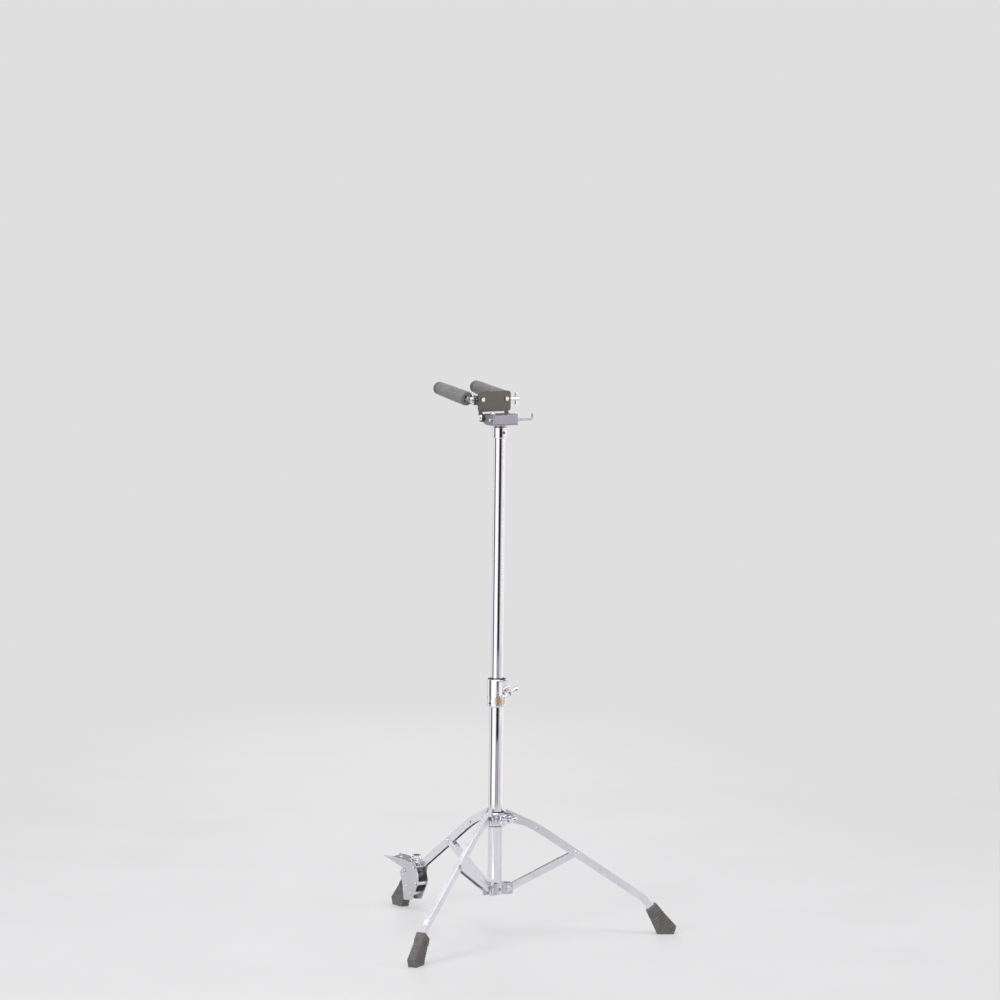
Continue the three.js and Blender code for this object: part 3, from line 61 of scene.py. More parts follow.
def newGroup(name, inputs, outputs):
    group = bpy.data.node_groups.new(name, "ShaderNodeTree")
    for label, kind, value in inputs:
        socket = group.interface.new_socket(label, in_out="INPUT", socket_type="NodeSocket" + kind)
        socket.default_value = value
    for label, kind in outputs:
        group.interface.new_socket(label, in_out="OUTPUT", socket_type="NodeSocket" + kind)
    return group, group.nodes.new("NodeGroupInput"), group.nodes.new("NodeGroupOutput")


def addNode(tree, kind, **settings):
    node = tree.nodes.new("ShaderNode" + kind)
    for key, value in settings.items():
        setattr(node, key, value)
    return node


def feed(tree, socket, value):
    if isinstance(value, bpy.types.NodeSocket):
        tree.links.new(value, socket)
    else:
        socket.default_value = value


def addMath(tree, operation, first, second):
    node = addNode(tree, "Math", operation=operation)
    feed(tree, node.inputs[0], first)
    feed(tree, node.inputs[1], second)
    return node.outputs[0]


def addNoise(tree, place, scale, detail=3, stretch=None):
    if stretch:
        mapping = addNode(tree, "Mapping")
        mapping.inputs["Scale"].default_value = stretch
        tree.links.new(place, mapping.inputs["Vector"])
        place = mapping.outputs[0]
    node = addNode(tree, "TexNoise")
    node.inputs["Detail"].default_value = detail
    tree.links.new(place, node.inputs["Vector"])
    feed(tree, node.inputs["Scale"], scale)
    return node.outputs[0]


def addRange(tree, value, low, high, newLow, newHigh):
    node = addNode(tree, "MapRange")
    feed(tree, node.inputs["Value"], value)
    for label, wanted in zip(("From Min", "From Max", "To Min", "To Max"), (low, high, newLow, newHigh)):
        feed(tree, node.inputs[label], wanted)
    return node.outputs[0]


def handledMetalGroup():
    inputs = [("Roughness", "Float", 0.1), ("Smudge", "Float", 0.06), ("Smudge Scale", "Float", 30.0),
              ("Tone", "Color", (0.7, 0.7, 0.7, 1)), ("Tone Change", "Float", 0.05)]
    group, source, target = newGroup("handledMetal", inputs, [("Color", "Color"), ("Roughness", "Float")])
    place = addNode(group, "TexCoord").outputs["Object"]
    cloud = addNoise(group, place, source.outputs["Smudge Scale"], 4)
    soft = addRange(group, cloud, 0.38, 0.75, 0.0, 1.0)
    streaks = addNoise(group, place, 260.0, 2, (1, 1, 0.06))
    fine = addRange(group, streaks, 0.45, 0.8, 0.0, 0.35)
    amount = addMath(group, "MULTIPLY", addMath(group, "ADD", soft, fine), source.outputs["Smudge"])
    group.links.new(addMath(group, "ADD", source.outputs["Roughness"], amount), target.inputs["Roughness"])
    tint = addNode(group, "HueSaturation")
    group.links.new(source.outputs["Tone"], tint.inputs["Color"])
    spread = addMath(group, "MULTIPLY", addMath(group, "SUBTRACT", 0.5, cloud), source.outputs["Tone Change"])
    group.links.new(addMath(group, "ADD", spread, 1.0), tint.inputs["Value"])
    group.links.new(tint.outputs[0], target.inputs["Color"])
    return group


def castGrainGroup():
    inputs = [("Scale", "Float", 900.0), ("Pits", "Float", 0.5), ("Pit Scale", "Float", 300.0)]
    group, source, target = newGroup("castGrain", inputs, [("Height", "Float")])
    place = addNode(group, "TexCoord").outputs["Object"]
    grain = addNoise(group, place, source.outputs["Scale"], 3)
    cells = addNode(group, "TexVoronoi")
    group.links.new(place, cells.inputs["Vector"])
    group.links.new(source.outputs["Pit Scale"], cells.inputs["Scale"])
    pits = addRange(group, cells.outputs["Distance"], 0.0, 0.35, 0.0, 1.0)
    deep = addMath(group, "MULTIPLY", pits, source.outputs["Pits"])
    group.links.new(addMath(group, "ADD", grain, deep), target.inputs["Height"])
    return group


def settledDustGroup():
    inputs = [("Base", "Color", (0.05, 0.05, 0.05, 1)), ("Dust", "Color", (0.3, 0.29, 0.28, 1)),
              ("Amount", "Float", 0.3), ("Scale", "Float", 60.0)]
    group, source, target = newGroup("settledDust", inputs, [("Color", "Color"), ("Mask", "Float")])
    place = addNode(group, "TexCoord").outputs["Object"]
    cloud = addRange(group, addNoise(group, place, source.outputs["Scale"], 5), 0.4, 0.72, 0.0, 1.0)
    facing = addNode(group, "SeparateXYZ")
    group.links.new(addNode(group, "NewGeometry").outputs["Normal"], facing.inputs[0])
    upper = addRange(group, facing.outputs["Z"], -0.2, 0.9, 0.25, 1.0)
    mask = addMath(group, "MULTIPLY", addMath(group, "MULTIPLY", cloud, upper), source.outputs["Amount"])
    mix = addNode(group, "Mix", data_type="RGBA")
    group.links.new(mask, mix.inputs[0])
    group.links.new(source.outputs["Base"], mix.inputs[6])
    group.links.new(source.outputs["Dust"], mix.inputs[7])
    group.links.new(mix.outputs[2], target.inputs["Color"])
    group.links.new(mask, target.inputs["Mask"])
    return group


handledMetal = handledMetalGroup()
castGrain = castGrainGroup()
settledDust = settledDustGroup()


# Materials

def newMaterial(name):
    material = bpy.data.materials.new(name)
    material.use_nodes = True
    tree = material.node_tree
    return material, tree, tree.nodes["Principled BSDF"]


def placeGroup(tree, group, values):
    node = addNode(tree, "Group", node_tree=group)
    for label, value in values.items():
        node.inputs[label].default_value = value
    return node


def addBump(tree, shader, height, distance):
    bump = addNode(tree, "Bump")
    bump.inputs["Distance"].default_value = distance
    tree.links.new(height, bump.inputs["Height"])
    tree.links.new(bump.outputs[0], shader.inputs["Normal"])


def addGrain(tree, shader, grain):
    values = {"Scale": grain["scale"], "Pits": grain["pits"], "Pit Scale": grain["pitScale"]}
    field = placeGroup(tree, castGrain, values)
    addBump(tree, shader, field.outputs["Height"], grain["depth"])


def metalMaterial(name, tone, roughness, smudge, smudgeScale, toneChange, grain):
    material, tree, shader = newMaterial(name)
    wear = placeGroup(tree, handledMetal, {
        "Roughness": roughness, "Smudge": smudge, "Smudge Scale": smudgeScale,
        "Tone": (*tone, 1), "Tone Change": toneChange,
    })
    shader.inputs["Metallic"].default_value = 1
    tree.links.new(wear.outputs["Color"], shader.inputs["Base Color"])
    tree.links.new(wear.outputs["Roughness"], shader.inputs["Roughness"])
    addGrain(tree, shader, grain)
    return material


def softMaterial(name, base, dust, amount, scale, roughness, grain, sheen=0.0):
    material, tree, shader = newMaterial(name)
    cover = placeGroup(tree, settledDust, {
        "Base": (*base, 1), "Dust": (*dust, 1), "Amount": amount, "Scale": scale,
    })
    tree.links.new(cover.outputs["Color"], shader.inputs["Base Color"])
    shader.inputs["Specular IOR Level"].default_value = 0.3
    shader.inputs["Sheen Weight"].default_value = sheen
    dull = addRange(tree, cover.outputs["Mask"], 0.0, 1.0, roughness, min(roughness + 0.2, 1.0))
    tree.links.new(dull, shader.inputs["Roughness"])
    addGrain(tree, shader, grain)
    return material


# Fine relief of each surface; the depth is in metres
polishedGrain = {"scale": 500.0, "pits": 0.0, "pitScale": 160.0, "depth": 0.000008}
pressedGrain = {"scale": 900.0, "pits": 0.02, "pitScale": 320.0, "depth": 0.000014}
castingGrain = {"scale": 1400.0, "pits": 0.25, "pitScale": 500.0, "depth": 0.00012}
rubberGrain = {"scale": 1500.0, "pits": 0.3, "pitScale": 600.0, "depth": 0.0002}
foamGrain = {"scale": 1100.0, "pits": 1.0, "pitScale": 620.0, "depth": 0.0009}
nylonGrain = {"scale": 900.0, "pits": 0.1, "pitScale": 400.0, "depth": 0.0001}

# Metals: tone, roughness, strength and scale of the smudges, change of tone, grain
chromePlate = metalMaterial("chromePlate", (0.80, 0.79, 0.825), 0.05, 0.05, 26.0, 0.05, polishedGrain)
pressedChrome = metalMaterial("pressedChrome", (0.83, 0.815, 0.865), 0.2, 0.1, 34.0, 0.1, pressedGrain)
zincPlate = metalMaterial("zincPlate", (0.66, 0.65, 0.68), 0.26, 0.12, 45.0, 0.14, pressedGrain)
hookPlate = metalMaterial("hookPlate", (0.47, 0.46, 0.465), 0.16, 0.1, 60.0, 0.12, polishedGrain)
yokePlate = metalMaterial("yokePlate", (0.115, 0.104, 0.09), 0.28, 0.12, 40.0, 0.16, pressedGrain)
satinCasting = metalMaterial("satinCasting", (0.29, 0.275, 0.315), 0.36, 0.08, 40.0, 0.1, castingGrain)
hubCasting = metalMaterial("hubCasting", (0.66, 0.645, 0.70), 0.26, 0.1, 40.0, 0.1, castingGrain)
blackenedSteel = metalMaterial("blackenedSteel", (0.14, 0.14, 0.15), 0.35, 0.12, 50.0, 0.2, pressedGrain)
goldPlate = metalMaterial("goldPlate", (0.60, 0.50, 0.36), 0.3, 0.15, 70.0, 0.2, pressedGrain)

# Soft finishes: tone, tone of the dust on it
bootRubber = softMaterial("bootRubber", (0.115, 0.107, 0.103), (0.30, 0.285, 0.27),
                          amount=0.55, scale=70.0, roughness=0.68, grain=rubberGrain)
sleeveFoam = softMaterial("sleeveFoam", (0.155, 0.147, 0.147), (0.30, 0.285, 0.285),
                          amount=0.5, scale=90.0, roughness=0.8, grain=foamGrain, sheen=0.3)
mouldedNylon = softMaterial("mouldedNylon", (0.03, 0.03, 0.032), (0.15, 0.15, 0.15),
                            amount=0.2, scale=80.0, roughness=0.5, grain=nylonGrain)
print("materials made")


# Places: an axis frame has its Z along a turned piece's axis and its X towards a named side

def axisFrame(origin, axis, side=upward):
    along = Vector(axis).normalized()
    across = (Vector(side) - along * along.dot(Vector(side))).normalized()
    turn = Matrix((across, along.cross(across), along)).transposed()
    return Matrix.Translation(origin) @ turn.to_4x4()


def middleOf(node):
    low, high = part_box(node)
    return (low + high) / 2


def sideOf(leg):
    return Vector((-math.sin(legTurns[leg]), math.cos(legTurns[leg]), 0))


def outOf(leg):
    return Vector((math.cos(legTurns[leg]), math.sin(legTurns[leg]), 0))


def cornersIn(node, place):
    inverse = place.inverted()
    return [inverse @ vertex.co for vertex in nodes[node].data.vertices]


mastMiddle = middleOf("upper_tube")
mastFoot = Vector((mastMiddle.x, mastMiddle.y, 0))
mastFrame = axisFrame(mastFoot, upward, (0, 1, 0))
joints = {joint["name"]: joint for joint in frame["joints"]}


def jointPlace(name):
    return Vector(joints[name]["pos_m"])


# Meshes: turned bodies, swept rods and refined copies of the frame's own solids

def meshFrom(build, name, crease=35):
    bmesh.ops.recalc_face_normals(build, faces=build.faces)
    mesh = bpy.data.meshes.new(name)
    build.to_mesh(mesh)
    build.free()
    mesh.shade_smooth()
    mesh.set_sharp_from_angle(angle=math.radians(crease))
    return mesh


def bridgeRings(build, rings, closed=False):
    pairs = list(zip(rings, rings[1:]))
    if closed:
        pairs.append((rings[-1], rings[0]))
    for near, far in pairs:
        count = max(len(near), len(far))
        for index in range(count):
            following = (index + 1) % count
            if len(near) == 1 and len(far) > 1:
                build.faces.new((near[0], far[following], far[index]))
            elif len(far) == 1 and len(near) > 1:
                build.faces.new((near[index], near[following], far[0]))
            elif len(near) > 1:
                build.faces.new((near[index], near[following], far[following], far[index]))


# One round of points across an axis, or a single point on it
def addRound(build, place, radius, along, sides):
    steps = sides if radius > onAxis else 1
    angles = [2 * math.pi * step / steps for step in range(steps)]
    return [build.verts.new(place @ Vector((radius * math.cos(angle), radius * math.sin(angle), along)))
            for angle in angles]


def addTurned(build, profile, sides=48, closed=False, place=Matrix.Identity(4)):
    rings = [addRound(build, place, radius, along, sides) for radius, along in profile]
    bridgeRings(build, rings, closed)


# Rounds an outline's corners; the two ends of an open one stay as they are
def roundCorners(points, convex, concave=0.0, closed=False, steps=4):
    corners = [Vector(point) for point in points]
    count = len(corners)
    rounded = []
    for index, corner in enumerate(corners):
        if not closed and index in (0, count - 1):
            rounded.append(corner)
            continue
        before = corners[index - 1] - corner
        after = corners[(index + 1) % count] - corner
        turn = before.x * after.y - before.y * after.x
        reach = min(convex if turn > 0 else concave, before.length / 2, after.length / 2)
        if reach < shortest:
            rounded.append(corner)
            continue
        start = corner + before.normalized() * reach
        end = corner + after.normalized() * reach
        for step in range(steps + 1):
            share = step / steps
            rounded.append((1 - share) ** 2 * start + 2 * share * (1 - share) * corner + share ** 2 * end)
    return [(point.x, point.y) for point in rounded]


outlineRules = {"digits": 1, "sameRadius": 0.15}


# Outline of a solid turned node, read from its own corners in mm: radius and place along the axis
def turnedProfile(node, place):
    digits = outlineRules["digits"]
    rows = {}
    for corner in cornersIn(node, place):
        radius = round(math.hypot(corner.x, corner.y) / mm, digits)
        rows.setdefault(round(corner.z / mm, digits), set()).add(radius)
    profile = [(0.0, min(rows))]
    for along in sorted(rows):
        radii = sorted(rows[along])
        stepped = radii[-1] - radii[0] > outlineRules["sameRadius"]
        radii = [radii[0], radii[-1]] if stepped else [radii[-1]]
        if abs(radii[-1] - profile[-1][0]) < abs(radii[0] - profile[-1][0]):
            radii.reverse()
        profile += [(radius, along) for radius in radii if (radius, along) != profile[-1]]
    if profile[-1][0] > 0:
        profile.append((0.0, max(rows)))
    return [(radius * mm, along * mm) for radius, along in profile]


def sweptRod(build, stations, side, sides=32):
    rings = []
    for index, (point, radius) in enumerate(stations):
        ahead = stations[min(index + 1, len(stations) - 1)][0] - stations[max(index - 1, 0)][0]
        rings.append(addRound(build, axisFrame(point, ahead, side), radius, 0, sides))
    bridgeRings(build, rings)


# Screw thread: a rod whose radius follows a helix, with plain tapered ends
def addThread(build, place, start, end, radius, pitch, depth, sides=40, rowsPerTurn=8):
    count = max(int(abs(end - start) / pitch * rowsPerTurn), 4)
    rings = [addRound(build, place, 0, start, sides)]
    for row in range(count + 1):
        along = start + (end - start) * row / count
        fromEnd = min(row, count - row) / rowsPerTurn
        ring = []
        for step in range(sides):
            angle = 2 * math.pi * step / sides
            phase = ((along - start) / pitch - step / sides) % 1
            ridge = 1 - abs(2 * phase - 1)
            size = radius - depth * (1 - ridge * min(fromEnd, 1))
            point = Vector((size * math.cos(angle), size * math.sin(angle), along))
            ring.append(build.verts.new(place @ point))
        rings.append(ring)
    rings.append(addRound(build, place, 0, end, sides))
    bridgeRings(build, rings)


refineLook = {"weld": 0.02 * mm, "flat": math.radians(0.5), "crease": 32}


# Copy of a node with whole faces, then rounded along its sharp edges
def refinedMesh(node, edge, segments):
    build = bmesh.new()
    build.from_mesh(nodes[node].data)
    bmesh.ops.remove_doubles(build, verts=build.verts, dist=refineLook["weld"])
    bmesh.ops.dissolve_limit(build, angle_limit=refineLook["flat"], verts=build.verts, edges=build.edges)
    crease = math.radians(refineLook["crease"])
    sharp = [line for line in build.edges if len(line.link_faces) == 2 and line.calc_face_angle(0) > crease]
    bmesh.ops.bevel(build, geom=sharp, offset=edge, segments=segments, profile=0.5,
                    affect="EDGES", clamp_overlap=True)
    return meshFrom(build, node + "_shape", crease=refineLook["crease"])


def bodyOf(node):
    return next(body for body, members in bodies.items() if node in members)


# A small part that has no node of its own rides with the node that carries it
def addPiece(name, mesh, material, carrier):
    piece = bpy.data.objects.new(name, mesh)
    bpy.context.scene.collection.objects.link(piece)
    mesh.materials.clear()
    mesh.materials.append(material)
    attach(piece, bodyOf(carrier))
    return piece


def showPiece(name, mesh, material, node):
    piece = addPiece(name, mesh, material, node)
    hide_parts(node)
    return piece


# Mast tubes

tubeLook = {"sides": 128, "wall": 1.2 * mm, "edge": 0.3 * mm}


def makeTube(node):
    low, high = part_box(node)
    radius = (high.x - low.x) / 2
    inner = radius - tubeLook["wall"]
    profile = roundCorners([(inner, low.z), (radius, low.z), (radius, high.z), (inner, high.z)],
                           tubeLook["edge"], tubeLook["edge"], closed=True)
    build = bmesh.new()
    addTurned(build, profile, tubeLook["sides"], closed=True, place=mastFrame)
    showPiece(node + "_chromed", meshFrom(build, node + "_tube"), chromePlate, node)


makeTube("upper_tube")
makeTube("lower_tube")


# Nylon bushings; the lower one has a lip at each end

bushingLook = {"sides": 72, "wall": 1.9 * mm, "lipReach": 1.6 * mm, "lipHeight": 1.5 * mm,
               "edge": 0.4 * mm, "corner": 0.1 * mm}


def makeBushing(node, lowerLip):
    look = bushingLook
    low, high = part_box(node)
    outer = (high.x - low.x) / 2
    body = outer - look["lipReach"]
    bore = body - look["wall"]
    lip = look["lipHeight"]
    foot = outer if lowerLip else body
    profile = [(bore, low.z), (foot, low.z)]
    if lowerLip:
        profile += [(outer, low.z + lip), (body, low.z + lip)]
    profile += [(body, high.z - lip), (outer, high.z - lip), (outer, high.z), (bore, high.z)]
    rounded = roundCorners(profile, look["edge"], look["corner"], closed=True, steps=3)
    build = bmesh.new()
    addTurned(build, rounded, look["sides"], closed=True, place=mastFrame)
    showPiece(node + "_turned", meshFrom(build, node + "_ring"), mouldedNylon, node)


makeBushing("collar_bushing", lowerLip=True)
makeBushing("clamp_bushing", lowerLip=False)


# Rivets and bolts with domed heads

headLook = {"round": 2.2 * mm, "corner": 0.15 * mm}


def makeTurned(node, axis, material, side=upward):
    place = axisFrame(middleOf(node), axis, side)
    profile = roundCorners(turnedProfile(node, place), headLook["round"], headLook["corner"], steps=6)
    build = bmesh.new()
    addTurned(build, profile, place=place)
    showPiece(node + "_headed", meshFrom(build, node + "_turning", crease=50), material, node)


for leg in legTurns:
    for kind in ("hub_pin", "collar_pin", "brace_rivet"):
        makeTurned(f"{kind}_{leg}", sideOf(leg), chromePlate)
for place in ("leg", "upper", "back", "lower"):
    makeTurned(f"rest_rivet_{place}", (1, 0, 0), zincPlate)
for node in ("tilt_bolt", "arm_bolt_right", "arm_bolt_left"):
    makeTurned(node, (1, 0, 0), chromePlate)
makeTurned("block_top_bolt", upward, chromePlate, side=(1, 0, 0))
print("tubes and rivets turned")


# Wings: a bow of two fingers across the axis, thin at the neck and round at the ends

fingerLook = {"stations": 22, "around": 28, "squareness": 0.8, "blunt": 0.08}


# Half height and half thickness of a finger at a distance from the axis
def wingSection(look, reach):
    half = look["span"] / 2
    spread = min(max((reach - look["neck"]) / (half - look["neck"]), 0), 1)
    spread = spread * spread * (3 - 2 * spread)
    tall = (look["root"] + (look["tip"] - look["root"]) * spread) / 2
    thick = (look["thickness"] + (look["endThickness"] - look["thickness"]) * spread) / 2
    corner = look["tipCorner"]
    overEnd = min(max(reach - (half - corner), 0) / corner, 1)
    overRim = min(max(reach - (half - thick), 0) / thick, 1)
    tall -= corner * (1 - math.sqrt(1 - overEnd ** 2))
    return tall, thick * max(math.sqrt(1 - overRim ** 2), fingerLook["blunt"])


# Makes a round section slightly square
def softSquare(value):
    return math.copysign(abs(value) ** fingerLook["squareness"], value)


def addFinger(build, place, look, middle, start):
    half = look["span"] / 2
    stations, around = fingerLook["stations"], fingerLook["around"]
    rings = []
    for station in range(stations + 1):
        reach = start + (half - start) * math.sin(station / stations * math.pi / 2)
        tall, thick = wingSection(look, reach)
        angles = [2 * math.pi * step / around for step in range(around)]
        ring = [(reach, thick * softSquare(math.sin(angle)), middle + tall * softSquare(math.cos(angle)))
                for angle in angles]
        rings.append([build.verts.new(place @ Vector(point)) for point in ring])
    bridgeRings(build, rings)
    build.faces.new(rings[0])
    build.faces.new(rings[-1])


# Turns a frame so that its X runs along the wing's span, read from the node's corners
def wingTurn(node, place):
    corners = cornersIn(node, place)
    across = sum(corner.x ** 2 - corner.y ** 2 for corner in corners)
    slant = sum(2 * corner.x * corner.y for corner in corners)
    return place @ Matrix.Rotation(math.atan2(slant, across) / 2, 4, "Z")


def joinWings(node, hub, place, look, middle, start):
    hubMesh = meshFrom(hub, node + "_hub", crease=40)
    fingers = bmesh.new()
    for side in (0, math.pi):
        addFinger(fingers, place @ Matrix.Rotation(side, 4, "Z"), look, middle, start)
    wingMesh = meshFrom(fingers, node + "_fingers")
    body = bpy.data.objects.new(node + "_cast", hubMesh)
    tool = bpy.data.objects.new(node + "_tool", wingMesh)
    for item in (body, tool):
        bpy.context.scene.collection.objects.link(item)
    union = body.modifiers.new("union", "BOOLEAN")
    union.operation, union.solver, union.object = "UNION", "EXACT", tool
    joined = bpy.data.meshes.new_from_object(body.evaluated_get(bpy.context.evaluated_depsgraph_get()))
    for item in (body, tool):
        bpy.data.objects.remove(item)
    joined.shade_smooth()
    joined.set_sharp_from_angle(angle=math.radians(40))
    showPiece(node + "_cast", joined, chromePlate, node)


wingBoltLook = {"shaft": 3.6 * mm, "hub": 6.5 * mm, "hubEnd": 5.5 * mm, "hubLength": 18 * mm,
                "hubOut": 6 * mm, "chamfer": 0.5 * mm, "chamferRise": 0.8 * mm, "dome": 1.2 * mm,
                "domeIn": 2 * mm, "round": 1.1 * mm, "corner": 0.3 * mm, "fingerStart": 1 * mm,
                "clearance": 0.05 * mm, "pitch": 1.25 * mm, "threadDepth": 0.55 * mm,
                "span": 46 * mm, "root": 8.6 * mm, "tip": 15 * mm, "neck": 7 * mm,
                "thickness": 7.6 * mm, "endThickness": 9.6 * mm, "tipCorner": 6.4 * mm}


def makeWingBolt(node, joint):
    look = wingBoltLook
    plain = axisFrame(jointPlace(joint), (0, 1, 0))
    place = wingTurn(node, plain)
    reach = [corner.z for corner in cornersIn(node, plain)]
    tip, end = min(reach), look["hubOut"]
    hubStart = end - look["hubLength"]
    hubRadius, hubEnd = look["hub"], look["hubEnd"]
    hub = bmesh.new()
    profile = [(0, hubStart), (hubRadius - look["chamfer"], hubStart),
               (hubRadius, hubStart + look["chamferRise"]), (hubRadius, -look["hubOut"]),
               (hubEnd, end - look["dome"]), (hubEnd - look["domeIn"], end), (0, end)]
    addTurned(hub, roundCorners(profile, look["round"], look["corner"]), sides=64, place=place)
    joinWings(node, hub, place, look, 0, look["fingerStart"])
    thread = bmesh.new()
    shaftEnd = hubStart - look["clearance"]  # so that no faces lie on each other
    addThread(thread, place, tip, shaftEnd, look["shaft"], look["pitch"], look["threadDepth"])
    shaft = meshFrom(thread, node + "_thread", crease=30)
    addPiece(node + "_shaft", shaft, zincPlate, node)


makeWingBolt("clamp_wing_bolt", "clamp_bolt_turn")
makeWingBolt("collar_wing_bolt", "collar_bolt_turn")

tiltNutLook = {"flange": 7.2 * mm, "hub": 6.2 * mm, "bore": 4.3 * mm, "inset": 0.5 * mm, "span": 39.4 * mm,
               "root": 8.6 * mm, "tip": 12 * mm, "neck": 7 * mm, "thickness": 6 * mm, "endThickness": 5 * mm,
               "tipCorner": 5.4 * mm}
armNutLook = {"flange": 6.4 * mm, "hub": 5.4 * mm, "bore": 3.3 * mm, "inset": 0, "span": 29.2 * mm,
              "root": 6.4 * mm, "tip": 8.8 * mm, "neck": 6 * mm, "thickness": 4.4 * mm,
              "endThickness": 3.8 * mm, "tipCorner": 3.9 * mm}
nutEdges = {"chamfer": 0.4 * mm, "chamferRise": 0.6 * mm, "flange": 1.3 * mm, "step": 2 * mm,
            "dome": 1.2 * mm, "round": 0.5 * mm, "corner": 0.4 * mm, "fingerGap": 0.7 * mm}


# The middle of the fingers is measured along the axis from the nut's joint
def makeWingNut(node, joint, look, middle):
    plain = axisFrame(jointPlace(joint), (-1, 0, 0))
    place = wingTurn(node, plain)
    reach = [corner.z for corner in cornersIn(node, plain)]
    start, end = min(reach), max(reach)
    hubEnd = end - look["inset"]
    bore, hub, flange, edges = look["bore"], look["hub"], look["flange"], nutEdges
    build = bmesh.new()
    profile = [(bore, start), (flange - edges["chamfer"], start), (flange, start + edges["chamferRise"]),
               (flange, start + edges["flange"]), (hub, start + edges["step"]), (hub, hubEnd - edges["dome"]),
               (hub - edges["dome"], hubEnd), (bore, hubEnd)]
    rounded = roundCorners(profile, edges["round"], edges["corner"], closed=True)
    addTurned(build, rounded, sides=64, closed=True, place=place)
    joinWings(node, build, place, look, middle, bore + edges["fingerGap"])


makeWingNut("tilt_wing_nut", "tilt_nut_turn", tiltNutLook, middle=2.6 * mm)
makeWingNut("arm_wing_nut_right", "right_arm_nut_turn", armNutLook, middle=4.6 * mm)
makeWingNut("arm_wing_nut_left", "left_arm_nut_turn", armNutLook, middle=8.6 * mm)
print("wing bolts and nuts made")


# Fluted knob and nut on the stud

flutedLook = {"count": 10, "depth": 1.5 * mm, "sides": 200, "bore": 3.3 * mm, "face": 3 * mm,
              "chamfer": 1.5 * mm, "thin": 6 * mm, "dish": 0.5 * mm, "sharpness": 0.7}


def makeFluted(node):
    low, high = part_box(node)
    look = flutedLook
    middle = (low + high) / 2
    outer = (high.x - low.x) / 2
    face = look["bore"] + look["face"]
    chamfer = look["chamfer"] if high.z - low.z > look["thin"] else look["chamfer"] / 2
    quarter, third, dish = chamfer / 4, chamfer / 3, high.z - look["dish"]
    rows = [(look["bore"], low.z), (face, low.z)]
    rows += [(outer - chamfer, low.z), (outer - quarter, low.z + third), (outer, low.z + chamfer)]
    rows += [(outer, high.z - chamfer), (outer - quarter, high.z - third), (outer - chamfer, high.z)]
    rows += [(face, dish), (look["bore"], dish)]
    build = bmesh.new()
    rings = []
    for radius, along in rows:
        share = max((radius - face) / (outer - face), 0)
        ring = []
        for step in range(look["sides"]):
            angle = 2 * math.pi * step / look["sides"]
            scallop = max(math.cos(look["count"] * angle), 0) ** look["sharpness"]
            size = radius - look["depth"] * scallop * share
            point = (middle.x + size * math.cos(angle), middle.y + size * math.sin(angle), along)
            ring.append(build.verts.new(point))
        rings.append(ring)
    bridgeRings(build, rings, closed=True)
    showPiece(node + "_fluted", meshFrom(build, node + "_flutes", crease=38), chromePlate, node)


makeFluted("rest_nut")
makeFluted("rest_knob")


# Stud that carries the lever and the knob

studLook = {"radius": 3 * mm, "head": 6.4 * mm, "headHeight": 2.5 * mm, "round": 0.5 * mm,
            "pitch": 1 * mm, "threadDepth": 0.45 * mm, "clearance": 0.02 * mm}


def makeStud():
    look = studLook
    low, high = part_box("rest_stud")
    middle = middleOf("rest_stud")
    place = axisFrame((middle.x, middle.y, 0), upward, (1, 0, 0))
    headTop = low.z + look["headHeight"]
    threadStart = headTop + look["clearance"]
    profile = [(0, low.z), (look["head"], low.z), (look["head"], headTop), (0, headTop)]
    build = bmesh.new()
    addTurned(build, roundCorners(profile, look["round"]), place=place)
    addThread(build, place, threadStart, high.z, look["radius"], look["pitch"], look["threadDepth"])
    showPiece("rest_stud_threaded", meshFrom(build, "rest_stud_thread", crease=30), zincPlate, "rest_stud")


makeStud()


# Accessory hook: one bent rod with a round tip, and the collar at its root

hookLook = {"radius": 2.25 * mm, "bend": 5 * mm, "bendSteps": 10, "tipSteps": 6, "collar": 4.6 * mm,
            "collarLength": 3 * mm, "collarRound": 0.6 * mm, "overlap": 0.1 * mm,
            "back": 16 * mm, "height": 1101 * mm, "face": 31.3 * mm}


def makeHook():
    look = hookLook
    low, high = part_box("accessory_hook")
    radius, bend = look["radius"], look["bend"]
    y, z = mastMiddle.y + look["back"], look["height"]
    tipX = low.x + radius
    root = Vector((high.x, y, z))
    stations = [(root, 0), (root, radius), (Vector((tipX + bend, y, z)), radius)]
    for step in range(1, look["bendSteps"] + 1):
        angle = step / look["bendSteps"] * math.pi / 2
        point = Vector((tipX + bend - bend * math.sin(angle), y, z + bend - bend * math.cos(angle)))
        stations.append((point, radius))
    for step in range(look["tipSteps"] + 1):
        angle = step / look["tipSteps"] * math.pi / 2
        height = high.z - radius + radius * math.sin(angle)
        stations.append((Vector((tipX, y, height)), radius * math.cos(angle)))
    build = bmesh.new()
    sweptRod(build, stations, Vector((0, 1, 0)))
    place = axisFrame((-look["face"], y, z), (-1, 0, 0))
    collar, length, bore = look["collar"], look["collarLength"], radius - look["overlap"]
    profile = [(bore, 0), (collar, 0), (collar, length), (bore, length)]
    addTurned(build, roundCorners(profile, look["collarRound"], closed=True), closed=True, place=place)
    rod = meshFrom(build, "accessory_hook_rod", crease=50)
    showPiece("accessory_hook_bent", rod, hookPlate, "accessory_hook")


makeHook()


# Foam sleeves and rubber boots: the frame's own form, rounded all over, then pored or ribbed

